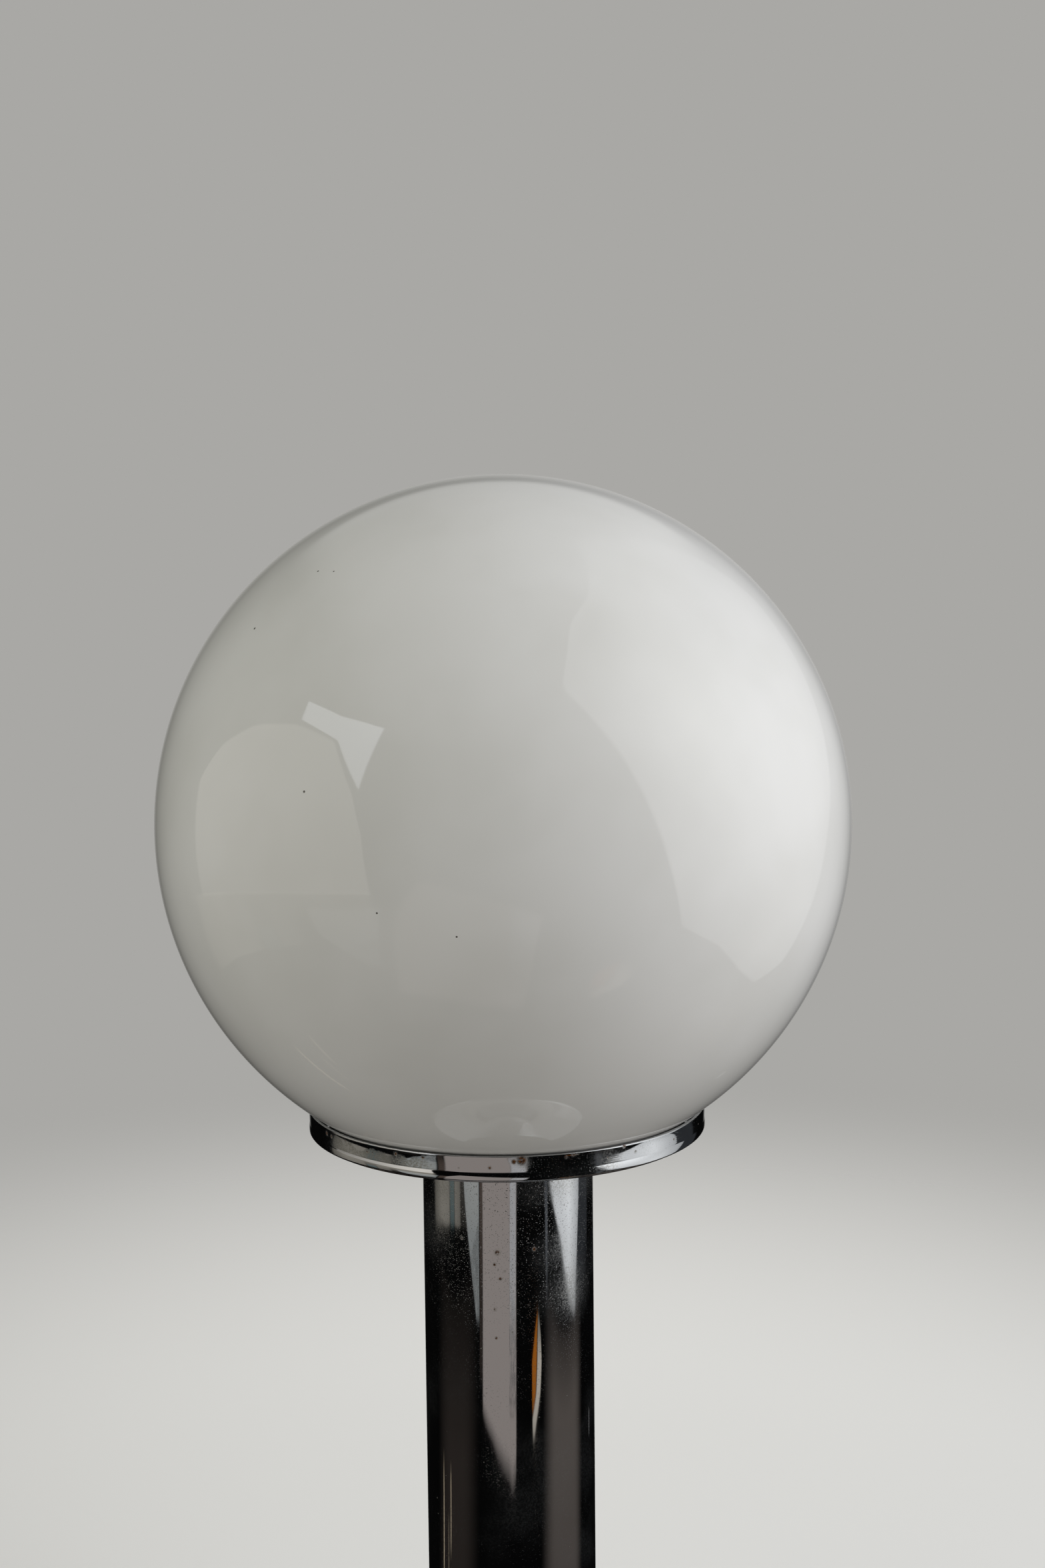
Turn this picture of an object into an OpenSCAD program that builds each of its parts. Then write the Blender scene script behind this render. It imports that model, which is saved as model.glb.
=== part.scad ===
// Table lamp: a cased opal glass globe resting in a slim chromed gallery, on a wide chromed tube and a round weighted base.
// One hollow threaded rod runs from a nut under the ballast to the lampholder and clamps the whole stand together.
// Millimetres, +Z up, origin on the floor at the middle of the base; the cord inlet is at the back, towards +Y.

/* [Globe] */
// Outside diameter of the glass globe
globe_d = 250; // [220:5:300]
// Thickness of the cased glass
glass_t = 2.5; // [2:0.5:4]
// Outside diameter of the ground mouth that the globe stands on
mouth_d = 122; // [110:1:130]

/* [Gallery] */
// Height of the gallery from its floor to the top of its lip
gallery_h = 8.6; // [7:0.2:14]
// Thickness of the gallery's spun sheet
gallery_t = 0.8; // [0.6:0.1:1.2]
// Free gap between the lip and the glass
lip_gap = 0.8; // [0.3:0.1:2]
// Diameter of the rolled edge of the lip
lip_roll_d = 1; // [0.8:0.1:1.6]
// Radius of the round corner between the floor and the band
corner_r = 3.1; // [1.5:0.1:4]
// Thickness of the plate under the gallery
plate_t = 0.8; // [0.6:0.1:1.5]

/* [Stem] */
// Outside diameter of the stem tube
tube_d = 63; // [50:1:80]
// Wall of the stem tube
tube_t = 1.5; // [1:0.5:2.5]
// Length of the stem tube, from the base to the gallery plate
stem_len = 280; // [150:10:400]

/* [Base] */
// Outside diameter of the base
base_d = 203; // [170:1:260]
// Height of the base, sole included
base_h = 22; // [22:1:30]
// Thickness of the base's spun sheet
base_t = 1.2; // [1:0.1:2]
// Radius of the base's upper shoulder
shoulder_r = 7; // [4:1:8]
// Diameter of the cast-iron ballast
ballast_d = 144; // [120:2:150]
// Thickness of the felt sole
felt_t = 2; // [1.5:0.5:3]
// Diameter of the flex that the cord inlet takes
flex_d = 7; // [5:0.5:7]

/* [Bulb] */
// Diameter of the bulb's round end
bulb_d = 60; // [45:1:65]
// Length of the bulb from its contact to its top
bulb_len = 108; // [100:1:112]

/* [Hidden] */

// Fineness of round shapes, and of the small round shapes inside the bulb and the lampholder
$fn = 96;
small_fn = 32;
// Overlap that joins two solids of one piece, and overshoot of a cutter
join = 0.2;

// Rod, plain holes round it and nuts of 10 mm fine thread
rod_r = 5;
rod_bore_r = 3.5;
rod_hole_r = rod_r + 0.25;
nut_bore_r = rod_r + 0.03;
nut_across_flats = 17;
nut_h = 5;
washer_t = 1.5;
end_bevel = 0.6;

// Base, from the floor up
base_r = base_d / 2;
felt_r = base_r - 5;
curl_r = 3;
hem_w = 4;
tube_r = tube_d / 2;
tube_bore_r = tube_r - tube_t;
shell_under = base_h - base_t;
pocket_r = 17;
pocket_top = felt_t + 9.5;
bottom_washer_r = 15;
rod_bottom = felt_t + 1.5;
channel_w = 10;
channel_top = felt_t + 9;
ballast_bevel = 2;

// Cord inlet
inlet_z = (curl_r + felt_t + shell_under - shoulder_r) / 2 + 0.5;
flex_bore_r = flex_d / 2 + 0.1;
grommet_neck_r = flex_bore_r + 1;
grommet_flange_r = flex_bore_r + 2.6;
grommet_flange_t = 1.5;
grommet_back_t = 1.2;
grommet_relief = 0.3;

// Plugs that centre the tube on the rod
plug_h = 8;
plug_r = tube_bore_r - 0.1;
plug_recess_r = 20;
plug_recess_h = 3;

// Gallery: the globe's mouth stands on the gasket, and the lip's size follows from the sphere at its height
globe_r = globe_d / 2;
mouth_r = mouth_d / 2;
gasket_t = 1.5;
gallery_z = base_h + stem_len;
floor_top = gallery_z + plate_t + gallery_t;
mouth_z = floor_top + gasket_t;
mouth_depth = sqrt(pow(globe_r, 2) - pow(mouth_r, 2));
globe_z = mouth_z + mouth_depth;
lip_z = gallery_z + plate_t + gallery_h - lip_roll_d / 2;
glass_at_lip = sqrt(pow(globe_r, 2) - pow(globe_z - lip_z - lip_roll_d / 2, 2));
gallery_r = glass_at_lip + lip_gap + lip_roll_d;
band_step = 0.35;
corner_out_r = gallery_r - band_step;
plate_r = gallery_r - 1.9;
glass_bore_r = sqrt(pow(globe_r - glass_t, 2) - pow(mouth_depth, 2));
gasket_in_r = glass_bore_r - 0.6;
gasket_out_r = mouth_r + 1;
top_washer_r = 16;
washer_top = floor_top + washer_t;

// Lampholder, heights from the face that meets the top nut
holder_z = washer_top + nut_h;
neck_r = 9;
neck_h = 7;
dome_r = 20.5;
dome_top = 18;
holder_wall = 2.4;
entry_h = 8;
spigot_top = 24;
spigot_r = 18.2;
skirt_r = 20.5;
skirt_bore_r = 18.35;
skirt_top = 57;
skirt_mouth_r = 15.2;
skirt_lip_h = 1.8;
ledge_r = 16.8;
ledge_h = 2;
boss_r = 14.5;
boss_bottom = 20;
insert_flange_top = 28;
insert_flange_r = 18.1;
insert_top = 30;
insert_top_r = 16.4;
rod_top = holder_z + entry_h;

// Lamp thread: a rounded screw of 27 mm nominal size, the shell a clearance wider than the bulb's cap
pitch = 3.6;
thread_amp = 0.5;
cap_mean_r = 12.6;
thread_gap = 0.35;
shell_mean_r = cap_mean_r + thread_gap;
shell_out_r = shell_mean_r + thread_amp + 0.6;
shell_thread_top = 53;
shell_base_in_r = 9.5;
shell_base_h = 1;
thread_sides = 24;
rings_per_pitch = 6;

// Contact spring and terminals
contact_top = 33.8;
strip_w = 6;
strip_t = 0.5;
strip_far = 8.6;
strip_top = contact_top - 0.2;
strip_bend = 3.2;
shell_screw_x = 11.6;
strip_screw_x = -6.4;
screw_head_r = 2.9;
screw_head_h = 2.4;
screw_shank_r = 1.6;
screw_slot_w = 0.8;
lock_screw_r = 1.5;
lock_screw_out = 0.4;

// Bulb, heights from the tip of its contact
bulb_z = holder_z + contact_top;
bulb_r = bulb_d / 2;
bulb_mid = bulb_len - bulb_r;
contact_dome_r = 4.6;
contact_dome_h = 1.3;
contact_stud_r = 1.5;
contact_stud_top = 4;
insulator_bottom = 1.5;
insulator_low_r = 5.6;
insulator_top = 6.5;
cap_bottom = 4.6;
cap_thread_top = 19.4;
cap_top = 26.5;
cap_collar_r = 13.5;
cap_bore_r = 11.5;
cap_collar_bore_r = 12.95;
insulator_r = cap_bore_r - 0.15;
bulb_glass_t = 0.8;
bulb_neck_bottom = 22;
bulb_neck_r = 12.7;
bulb_neck_slope = 0.03;
round_from = -40;
round_step = 10;
neck_steps = 8;
flare_r = bulb_neck_r - bulb_glass_t - 0.1;
stem_r = 3.2;
stem_top = 52;
stem_bottom = 23;
lead_r = 0.35;
lead_foot_x = 2.2;
lead_top_x = 15;
lead_bend_z = 56;
filament_z = 76;
filament_r = 0.45;
support_y = 9;
filament_dip = 2;
elbow = 1.15;

// Slope of the bulb's round end where the neck's curve meets it
join_r = bulb_r * cos(round_from);
join_z = bulb_mid + bulb_r * sin(round_from);
join_slope = -tan(round_from);

// Value between a and b at fraction u of a cubic curve with the slopes sa and sb at its ends, over the run w
function cubic(a, b, sa, sb, w, u) =
    a * (2 * pow(u, 3) - 3 * pow(u, 2) + 1) + b * (3 * pow(u, 2) - 2 * pow(u, 3))
    + w * sa * (pow(u, 3) - 2 * pow(u, 2) + u) + w * sb * (pow(u, 3) - pow(u, 2));

// Outline of the bulb's glass, drawn in by inset: its neck is a cubic curve and its end an arc
function bulb_outline(inset) = concat(
    [for (i = [0:neck_steps - 1])
        let (u = i / neck_steps, w = join_z - bulb_neck_bottom)
        [cubic(bulb_neck_r, join_r, bulb_neck_slope, join_slope, w, u) - inset, bulb_neck_bottom + w * u]],
    [for (a = [round_from:round_step:90 - round_step])
        [(bulb_r - inset) * cos(a), bulb_mid + (bulb_r - inset) * sin(a)]],
    [[0, bulb_mid + bulb_r - inset]]
);

// Radius of the rounded thread at an angle and a height: a ridge that climbs one pitch a turn.
// Over half a pitch at each end it runs out to its root on a screw (side -1), or to its widest on a shell (side 1).
function thread_fade(z, z0, z1) = min(1, min(z - z0, z1 - z) / (pitch / 2));
function thread_r(mean_r, a, z, fade, side) =
    mean_r + thread_amp * (fade * cos(360 * z / pitch - a) + (1 - fade) * side);

// Quarter of a round bend in sheet, about its centre, in the quadrant that the two signs name
module bend(centre, outer_r, sheet_t, side, up) {
    translate(centre)
        intersection() {
            difference() {
                circle(r = outer_r);
                circle(r = outer_r - sheet_t);
            }
            translate([side > 0 ? 0 : -outer_r, up > 0 ? 0 : -outer_r])
                square(outer_r);
        }
}

// Flat ring between two radii, standing on z
module ring(out_r, in_r, z, h) {
    translate([0, 0, z])
        difference() {
            cylinder(r = out_r, h = h);
            translate([0, 0, -join])
                cylinder(r = in_r, h = h + 2 * join);
        }
}

// Hexagon nut, standing on z, its corners turned off to a round chamfer at both faces
module nut(z) {
    across_corners_r = nut_across_flats / sqrt(3);
    chamfer = 0.8;
    translate([0, 0, z])
        difference() {
            intersection() {
                cylinder(r = across_corners_r, h = nut_h, $fn = 6);
                rotate_extrude()
                    polygon([
                        [0, 0], [across_corners_r - chamfer, 0], [across_corners_r, chamfer / 2],
                        [across_corners_r, nut_h - chamfer / 2], [across_corners_r - chamfer, nut_h], [0, nut_h]
                    ]);
            }
            translate([0, 0, -join])
                cylinder(r = nut_bore_r, h = nut_h + 2 * join);
        }
}

// Disc that fits the tube's bore and the rod, with a recess on the side away from the tube's end
module plug(z, recess_up) {
    translate([0, 0, z])
        difference() {
            cylinder(r = plug_r, h = plug_h);
            translate([0, 0, -join])
                cylinder(r = rod_hole_r, h = plug_h + 2 * join);
            translate([0, 0, recess_up ? plug_h - plug_recess_h : -join])
                cylinder(r = plug_recess_r, h = plug_recess_h + join);
        }
}

// Round wire in straight runs from point to point, with a round elbow a little wider than the wire at each bend
module wire(points, r) {
    for (i = [0:len(points) - 2]) {
        run = points[i + 1] - points[i];
        tilt = acos(run.z / norm(run));
        turn = atan2(run.y, run.x);
        translate(points[i]) {
            rotate([0, tilt, turn])
                cylinder(r = r, h = norm(run), $fn = 16);
            if (i > 0)
                rotate([0, tilt + 90, turn])
                    sphere(r = elbow * r, $fn = 16);
        }
    }
}

// Ring with a round-threaded face: a grid of rings up the thread, closed by a plain face on its other side
module threaded_ring(mean_r, plain_r, z0, z1) {
    rings = round((z1 - z0) / pitch * rings_per_pitch);
    thread_out = mean_r > plain_r;
    points = concat(
        [for (i = [0:rings]) for (k = [0:thread_sides - 1])
            let (
                a = 360 * k / thread_sides,
                z = z0 + (z1 - z0) * i / rings,
                r = thread_r(mean_r, a, z, thread_fade(z, z0, z1), thread_out ? -1 : 1)
            )
            [r * cos(a), r * sin(a), z]],
        [for (z = [z0, z1]) for (k = [0:thread_sides - 1])
            let (a = 360 * k / thread_sides)
            [plain_r * cos(a), plain_r * sin(a), z]]
    );
    plain = (rings + 1) * thread_sides;
    // Two triangles between the same pair of columns of two rows, seen anticlockwise or clockwise
    function pair(p, q, k) =
        let (n = (k + 1) % thread_sides)
        thread_out
            ? [[p + k, q + k, q + n], [p + k, q + n, p + n]]
            : [[p + k, q + n, q + k], [p + k, p + n, q + n]];
    faces = concat(
        [for (i = [0:rings - 1]) for (k = [0:thread_sides - 1])
            each pair(i * thread_sides, (i + 1) * thread_sides, k)],
        [for (k = [0:thread_sides - 1]) each pair(rings * thread_sides, plain + thread_sides, k)],
        [for (k = [0:thread_sides - 1]) each pair(plain + thread_sides, plain, k)],
        [for (k = [0:thread_sides - 1]) each pair(plain, 0, k)]
    );
    polyhedron(points, faces);
}

// Sole of the lamp, glued to the ballast and to the hem of the base
module felt_pad() {
    color("#2f3a33")
        cylinder(r = felt_r, h = felt_t);
}

// Spun base: flat top, round shoulder, upright wall and a lower edge curled in to a hem
module base_shell() {
    color("silver")
        difference() {
            rotate_extrude() {
                translate([rod_hole_r, shell_under])
                    square([base_r - shoulder_r - rod_hole_r, base_t]);
                bend([base_r - shoulder_r, base_h - shoulder_r], shoulder_r, base_t, 1, 1);
                translate([base_r - base_t, felt_t + curl_r])
                    square([base_t, base_h - shoulder_r - felt_t - curl_r]);
                bend([base_r - curl_r, felt_t + curl_r], curl_r, base_t, 1, -1);
                translate([base_r - curl_r - hem_w, felt_t])
                    square([hem_w, base_t]);
            }
            translate([0, base_r - shoulder_r, inlet_z])
                rotate([-90, 0, 0])
                    cylinder(r = grommet_neck_r, h = shoulder_r + join);
        }
}

// Cast-iron disc under the base, with a pocket for the nut and a channel for the flex
module ballast() {
    color("#2b2b2d")
        difference() {
            translate([0, 0, felt_t])
                rotate_extrude()
                    polygon([
                        [rod_hole_r, 0], [ballast_d / 2, 0], [ballast_d / 2, shell_under - felt_t - ballast_bevel],
                        [ballast_d / 2 - ballast_bevel, shell_under - felt_t], [rod_hole_r, shell_under - felt_t]
                    ]);
            translate([0, 0, felt_t - join])
                cylinder(r = pocket_r, h = pocket_top - felt_t + join);
            translate([-channel_w / 2, 0, felt_t - join])
                cube([channel_w, ballast_d, channel_top - felt_t + join]);
        }
}

// Bush of the cord inlet: a flange outside, a neck through the wall and a smaller flange inside
module cord_grommet() {
    back_y = base_r - base_t - grommet_relief;
    color("#161616")
        difference() {
            translate([0, back_y - grommet_back_t, inlet_z])
                rotate([-90, 0, 0])
                    union() {
                        cylinder(r = grommet_flange_r - 0.6, h = grommet_back_t);
                        cylinder(r = grommet_neck_r - 0.05, h = base_r + 0.1 - back_y + grommet_back_t);
                        translate([0, 0, base_r - back_y + grommet_back_t])
                            cylinder(r1 = grommet_flange_r, r2 = grommet_flange_r - 0.5, h = grommet_flange_t);
                    }
            translate([0, back_y - grommet_back_t - join, inlet_z])
                rotate([-90, 0, 0])
                    cylinder(r = flex_bore_r, h = base_r - back_y + grommet_back_t + grommet_flange_t + 2 * join);
        }
}

// Nut and washer that draw the rod down under the ballast
module bottom_nut() {
    color("goldenrod")
        nut(pocket_top - washer_t - nut_h);
}

module bottom_washer() {
    color("gray")
        ring(bottom_washer_r, rod_hole_r, pocket_top - washer_t, washer_t);
}

// Hollow threaded rod that holds the stand together and carries the lampholder
module tie_rod() {
    color("goldenrod")
        rotate_extrude()
            polygon([
                [rod_bore_r, rod_bottom], [rod_r - end_bevel, rod_bottom], [rod_r, rod_bottom + end_bevel],
                [rod_r, rod_top - end_bevel], [rod_r - end_bevel, rod_top], [rod_bore_r, rod_top]
            ]);
}

// Plugs at the tube's two ends
module foot_plug() {
    color("dimgray")
        plug(base_h, true);
}

module head_plug() {
    color("dimgray")
        plug(gallery_z - plug_h, false);
}

// Chromed steel tube between the base and the gallery
module stem_tube() {
    color("silver")
        ring(tube_r, tube_bore_r, base_h, stem_len);
}

// Thin chromed disc that stiffens the gallery's floor and shows under its round corner
module gallery_plate() {
    color("silver")
        ring(plate_r, rod_hole_r, gallery_z, plate_t);
}

// Spun dish: flat floor, round corner, an upright band that stands proud of the corner by a step, and a rolled lip
module gallery() {
    floor_z = gallery_z + plate_t;
    color("silver")
        rotate_extrude() {
            translate([rod_hole_r, floor_z])
                square([corner_out_r - corner_r - rod_hole_r, gallery_t]);
            bend([corner_out_r - corner_r, floor_z + corner_r], corner_r, gallery_t, 1, -1);
            translate([corner_out_r - gallery_t, floor_z + corner_r])
                square([gallery_t + band_step, lip_z - floor_z - corner_r]);
            translate([gallery_r - lip_roll_d / 2, lip_z])
                circle(d = lip_roll_d, $fn = small_fn);
        }
}

// Soft ring that the ground glass stands on
module globe_gasket() {
    color("#4a3f35")
        ring(gasket_out_r, gasket_in_r, floor_top, gasket_t);
}

module gallery_washer() {
    color("gray")
        ring(top_washer_r, rod_hole_r, floor_top, washer_t);
}

module top_nut() {
    color("goldenrod")
        nut(washer_top);
}

// Blown glass globe, cut and ground flat at its mouth
module globe() {
    color("#e8e4da")
        translate([0, 0, globe_z])
            difference() {
                sphere(r = globe_r);
                sphere(r = globe_r - glass_t);
                translate([0, 0, -mouth_depth - globe_r])
                    cylinder(r = globe_r, h = globe_r);
            }
}

// Lower half of the lampholder, with the entry that screws on the rod and a spigot for the skirt
module holder_cap() {
    color("#1b1a19")
        translate([0, 0, holder_z])
            difference() {
                rotate_extrude()
                    polygon([
                        [nut_bore_r, 0], [neck_r - 0.8, 0], [neck_r, 0.8], [neck_r, neck_h],
                        [dome_r - 3, dome_top - 5], [dome_r - 0.8, dome_top - 2.5], [dome_r, dome_top - 1],
                        [dome_r, dome_top], [spigot_r, dome_top], [spigot_r, spigot_top],
                        [spigot_r - holder_wall, spigot_top], [spigot_r - holder_wall, dome_top - 3],
                        [neck_r, entry_h + 1], [nut_bore_r, entry_h]
                    ]);
                translate([0, 0, neck_h / 2])
                    rotate([0, 90, 0])
                        cylinder(r = lock_screw_r, h = neck_r + join, $fn = small_fn);
            }
}

// Slotted screw through the neck that keeps the lampholder from turning on the rod
module lock_screw() {
    length = neck_r + lock_screw_out - rod_r - 0.05;
    color("gainsboro")
        translate([rod_r + 0.05, 0, holder_z + neck_h / 2])
            rotate([0, 90, 0])
                difference() {
                    cylinder(r = lock_screw_r - 0.02, h = length, $fn = small_fn);
                    translate([-lock_screw_r, -0.3, length - 0.8])
                        cube([2 * lock_screw_r, 0.6, 0.8 + join]);
                }
}

// Upper half of the lampholder: a plain skirt with an inner ledge that presses on the porcelain
module holder_skirt() {
    color("#1b1a19")
        translate([0, 0, holder_z])
            rotate_extrude()
                polygon([
                    [spigot_r + 0.15, dome_top], [skirt_r, dome_top], [skirt_r, skirt_top - 1.5],
                    [skirt_r - 1.5, skirt_top], [skirt_mouth_r, skirt_top], [skirt_mouth_r, skirt_top - skirt_lip_h],
                    [skirt_bore_r, skirt_top - skirt_lip_h], [skirt_bore_r, insert_flange_top + ledge_h],
                    [ledge_r, insert_flange_top + ledge_h], [ledge_r, insert_flange_top],
                    [skirt_bore_r, insert_flange_top]
                ]);
}

// Porcelain body that holds the contacts, with a hole for each terminal screw
module holder_insert() {
    color("ivory")
        translate([0, 0, holder_z])
            difference() {
                union() {
                    translate([0, 0, boss_bottom])
                        cylinder(r = boss_r, h = spigot_top - boss_bottom + join);
                    translate([0, 0, spigot_top])
                        cylinder(r = insert_flange_r, h = insert_flange_top - spigot_top);
                    translate([0, 0, insert_flange_top - join])
                        cylinder(r = insert_top_r, h = insert_top - insert_flange_top + join);
                }
                for (x = [shell_screw_x, strip_screw_x])
                    translate([x, 0, boss_bottom - join])
                        cylinder(r = screw_shank_r + 0.05, h = insert_top - boss_bottom + 2 * join, $fn = small_fn);
            }
}

// The two terminal screws, their slotted heads down towards the wires
module terminal_screws() {
    color("gold")
        for (x = [shell_screw_x, strip_screw_x])
            translate([x, 0, holder_z + boss_bottom - screw_head_h])
                difference() {
                    union() {
                        cylinder(r = screw_head_r, h = screw_head_h, $fn = small_fn);
                        cylinder(r = screw_shank_r, h = screw_head_h + insert_top - boss_bottom, $fn = small_fn);
                    }
                    translate([-screw_head_r, -screw_slot_w / 2, -join])
                        cube([2 * screw_head_r, screw_slot_w, 1 + join]);
                }
}

// Threaded brass shell of the lampholder, on its flat base ring; its thread is set out from the bulb's tip, as the cap's is
module screw_shell() {
    thread_bottom = insert_top + shell_base_h - join;
    color("gold") {
        translate([0, 0, bulb_z])
            threaded_ring(shell_mean_r, shell_out_r, thread_bottom - contact_top, shell_thread_top - contact_top);
        ring(shell_out_r - 0.1, shell_base_in_r, holder_z + insert_top, shell_base_h);
    }
}

// Spring strip under the bulb: a flat foot on the porcelain, a rise and a flat end below the bulb's contact
module centre_contact() {
    color("gold")
        translate([0, strip_w / 2, holder_z])
            rotate([90, 0, 0])
                linear_extrude(strip_w)
                    polygon([
                        [-strip_far, insert_top], [-strip_bend - 1, insert_top],
                        [-strip_bend + 1.4, strip_top - strip_t], [strip_bend, strip_top - strip_t],
                        [strip_bend, strip_top], [-strip_bend + 1.1, strip_top],
                        [-strip_bend - 1.3, insert_top + strip_t], [-strip_far, insert_top + strip_t]
                    ]);
}

// Solder contact at the bulb's tip, with the stud that runs up into the black glass
module bulb_contact() {
    color("lightgray")
        translate([0, 0, bulb_z])
            rotate_extrude($fn = small_fn)
                polygon([
                    [0, 0], [contact_dome_r * 0.6, 0.15], [contact_dome_r * 0.9, 0.6], [contact_dome_r, contact_dome_h],
                    [contact_stud_r, contact_dome_h], [contact_stud_r, contact_stud_top], [0, contact_stud_top]
                ]);
}

// Black glass cone between the contact and the threaded cap
module bulb_insulator() {
    color("#101010")
        translate([0, 0, bulb_z])
            difference() {
                rotate_extrude()
                    polygon([
                        [contact_stud_r + 0.05, insulator_bottom], [insulator_low_r, insulator_bottom],
                        [insulator_r - 0.6, cap_bottom - 0.1], [insulator_r, cap_bottom + 0.3],
                        [insulator_r, insulator_top], [contact_stud_r + 0.05, insulator_top]
                    ]);
                translate([0, 0, insulator_top - 1])
                    cylinder(r = insulator_r - 2, h = 1 + join);
            }
}

// Threaded cap of the bulb, with the plain collar that holds the glass
module bulb_cap() {
    color("gainsboro")
        translate([0, 0, bulb_z]) {
            threaded_ring(cap_mean_r, cap_bore_r, cap_bottom, cap_thread_top);
            rotate_extrude()
                polygon([
                    [cap_bore_r + 0.05, cap_thread_top - 0.4], [cap_mean_r - 0.1, cap_thread_top - 0.4],
                    [cap_collar_r - 0.1, cap_thread_top + 1.6], [cap_collar_r, cap_top], [cap_collar_bore_r, cap_top],
                    [cap_collar_bore_r, cap_thread_top + 2], [cap_bore_r + 0.05, cap_thread_top + 0.6]
                ]);
        }
}

// Clear glass envelope
module bulb_glass() {
    color("lightcyan", 0.5)
        translate([0, 0, bulb_z])
            rotate_extrude()
                difference() {
                    polygon(concat([[0, bulb_neck_bottom]], bulb_outline(0)));
                    polygon(concat(
                        [[0, bulb_neck_bottom - join], [bulb_neck_r - bulb_glass_t, bulb_neck_bottom - join]],
                        bulb_outline(bulb_glass_t)
                    ));
                }
}

// Glass mount: a flare that meets the neck, drawn in to a stem that holds the wires
module bulb_stem() {
    color("lightcyan", 0.7)
        translate([0, 0, bulb_z])
            rotate_extrude($fn = small_fn)
                polygon([
                    [flare_r, stem_bottom], [flare_r - 0.3, stem_bottom + 3], [stem_r + 2.5, stem_bottom + 8],
                    [stem_r, stem_bottom + 14], [stem_r, stem_top - 0.5], [stem_r - 0.5, stem_top], [0, stem_top],
                    [0, stem_bottom + 13], [stem_r - 1.2, stem_bottom + 12], [stem_r + 0.8, stem_bottom + 8],
                    [flare_r - 2, stem_bottom + 2.6], [flare_r - 1.4, stem_bottom]
                ]);
}

// Two lead wires and two finer supports that hold the filament
module bulb_wires() {
    color("dimgray")
        translate([0, 0, bulb_z]) {
            for (side = [-1, 1]) {
                wire([
                    [side * lead_foot_x, 0, stem_top - 0.5], [side * lead_foot_x * 1.6, 0, lead_bend_z],
                    [side * lead_top_x, 0, filament_z + 0.4]
                ], lead_r);
                wire([[0, side * 1.2, stem_top - 0.5], [0, side * support_y, filament_z - filament_dip - 0.4]], lead_r * 0.7);
            }
        }
}

// Filament, drawn as the straight runs that the coiled wire makes between its hooks
module bulb_filament() {
    color("gray")
        translate([0, 0, bulb_z])
            wire([
                [-lead_top_x, 0, filament_z], [0, -support_y, filament_z - filament_dip],
                [0, support_y, filament_z - filament_dip], [lead_top_x, 0, filament_z]
            ], filament_r);
}

felt_pad();
base_shell();
ballast();
cord_grommet();
bottom_nut();
bottom_washer();
tie_rod();
foot_plug();
stem_tube();
head_plug();
gallery_plate();
gallery();
globe_gasket();
gallery_washer();
top_nut();
globe();
holder_cap();
lock_screw();
holder_skirt();
holder_insert();
terminal_screws();
screw_shell();
centre_contact();
bulb_contact();
bulb_insulator();
bulb_cap();
bulb_glass();
bulb_stem();
bulb_wires();
bulb_filament();
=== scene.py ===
"""Looks of the table lamp: a cased opal globe in a spun chrome gallery, on a chromed tube and a round base.

Profiles are written in millimetres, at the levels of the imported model, and become metres in the meshes.
"""
import math

import bmesh
import bpy
import numpy as np
from mathutils import Matrix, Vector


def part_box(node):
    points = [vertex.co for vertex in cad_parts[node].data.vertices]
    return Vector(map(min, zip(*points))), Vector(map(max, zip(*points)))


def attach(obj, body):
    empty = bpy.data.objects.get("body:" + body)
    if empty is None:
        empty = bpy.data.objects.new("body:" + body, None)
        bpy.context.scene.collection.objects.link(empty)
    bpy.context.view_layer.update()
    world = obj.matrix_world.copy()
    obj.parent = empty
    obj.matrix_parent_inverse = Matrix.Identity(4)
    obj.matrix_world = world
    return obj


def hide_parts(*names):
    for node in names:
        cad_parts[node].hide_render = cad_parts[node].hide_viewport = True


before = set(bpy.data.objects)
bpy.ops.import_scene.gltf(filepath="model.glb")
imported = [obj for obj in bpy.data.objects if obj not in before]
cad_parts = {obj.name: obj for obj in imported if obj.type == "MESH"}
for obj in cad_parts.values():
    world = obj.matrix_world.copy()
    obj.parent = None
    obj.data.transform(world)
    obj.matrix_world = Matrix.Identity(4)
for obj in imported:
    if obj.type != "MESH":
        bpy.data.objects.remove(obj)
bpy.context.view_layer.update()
MM = 0.001
TURN = 2 * math.pi


# Camera, at the height, distance and slight tilt of the photograph's

CAMERA_PLACE = (0.0, -0.6324, 0.4816)
CAMERA_LENS = 40
CAMERA_PITCH = math.radians(-4.850)
CAMERA_YAW = math.radians(-0.628)
CAMERA_ROLL = math.radians(-0.600)


def make_camera():
    """Camera that looks along +Y, turned by yaw, then pitch, then roll about its own axis."""
    camera = bpy.data.objects.new("camera", bpy.data.cameras.new("camera"))
    camera.data.lens = CAMERA_LENS
    camera.data.sensor_width = 36
    turned = Matrix.Rotation(CAMERA_YAW, 4, "Z") @ Matrix.Rotation(math.pi / 2 + CAMERA_PITCH, 4, "X")
    camera.matrix_world = Matrix.Translation(CAMERA_PLACE) @ turned @ Matrix.Rotation(CAMERA_ROLL, 4, "Z")
    bpy.context.scene.collection.objects.link(camera)
    bpy.context.scene.camera = camera


make_camera()


# Material tools


def linear(code):
    """Linear RGBA of an sRGB hex colour."""
    channels = [int(code[i:i + 2], 16) / 255 for i in (1, 3, 5)]
    return [c / 12.92 if c <= 0.04045 else ((c + 0.055) / 1.055) ** 2.4 for c in channels] + [1.0]


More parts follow.
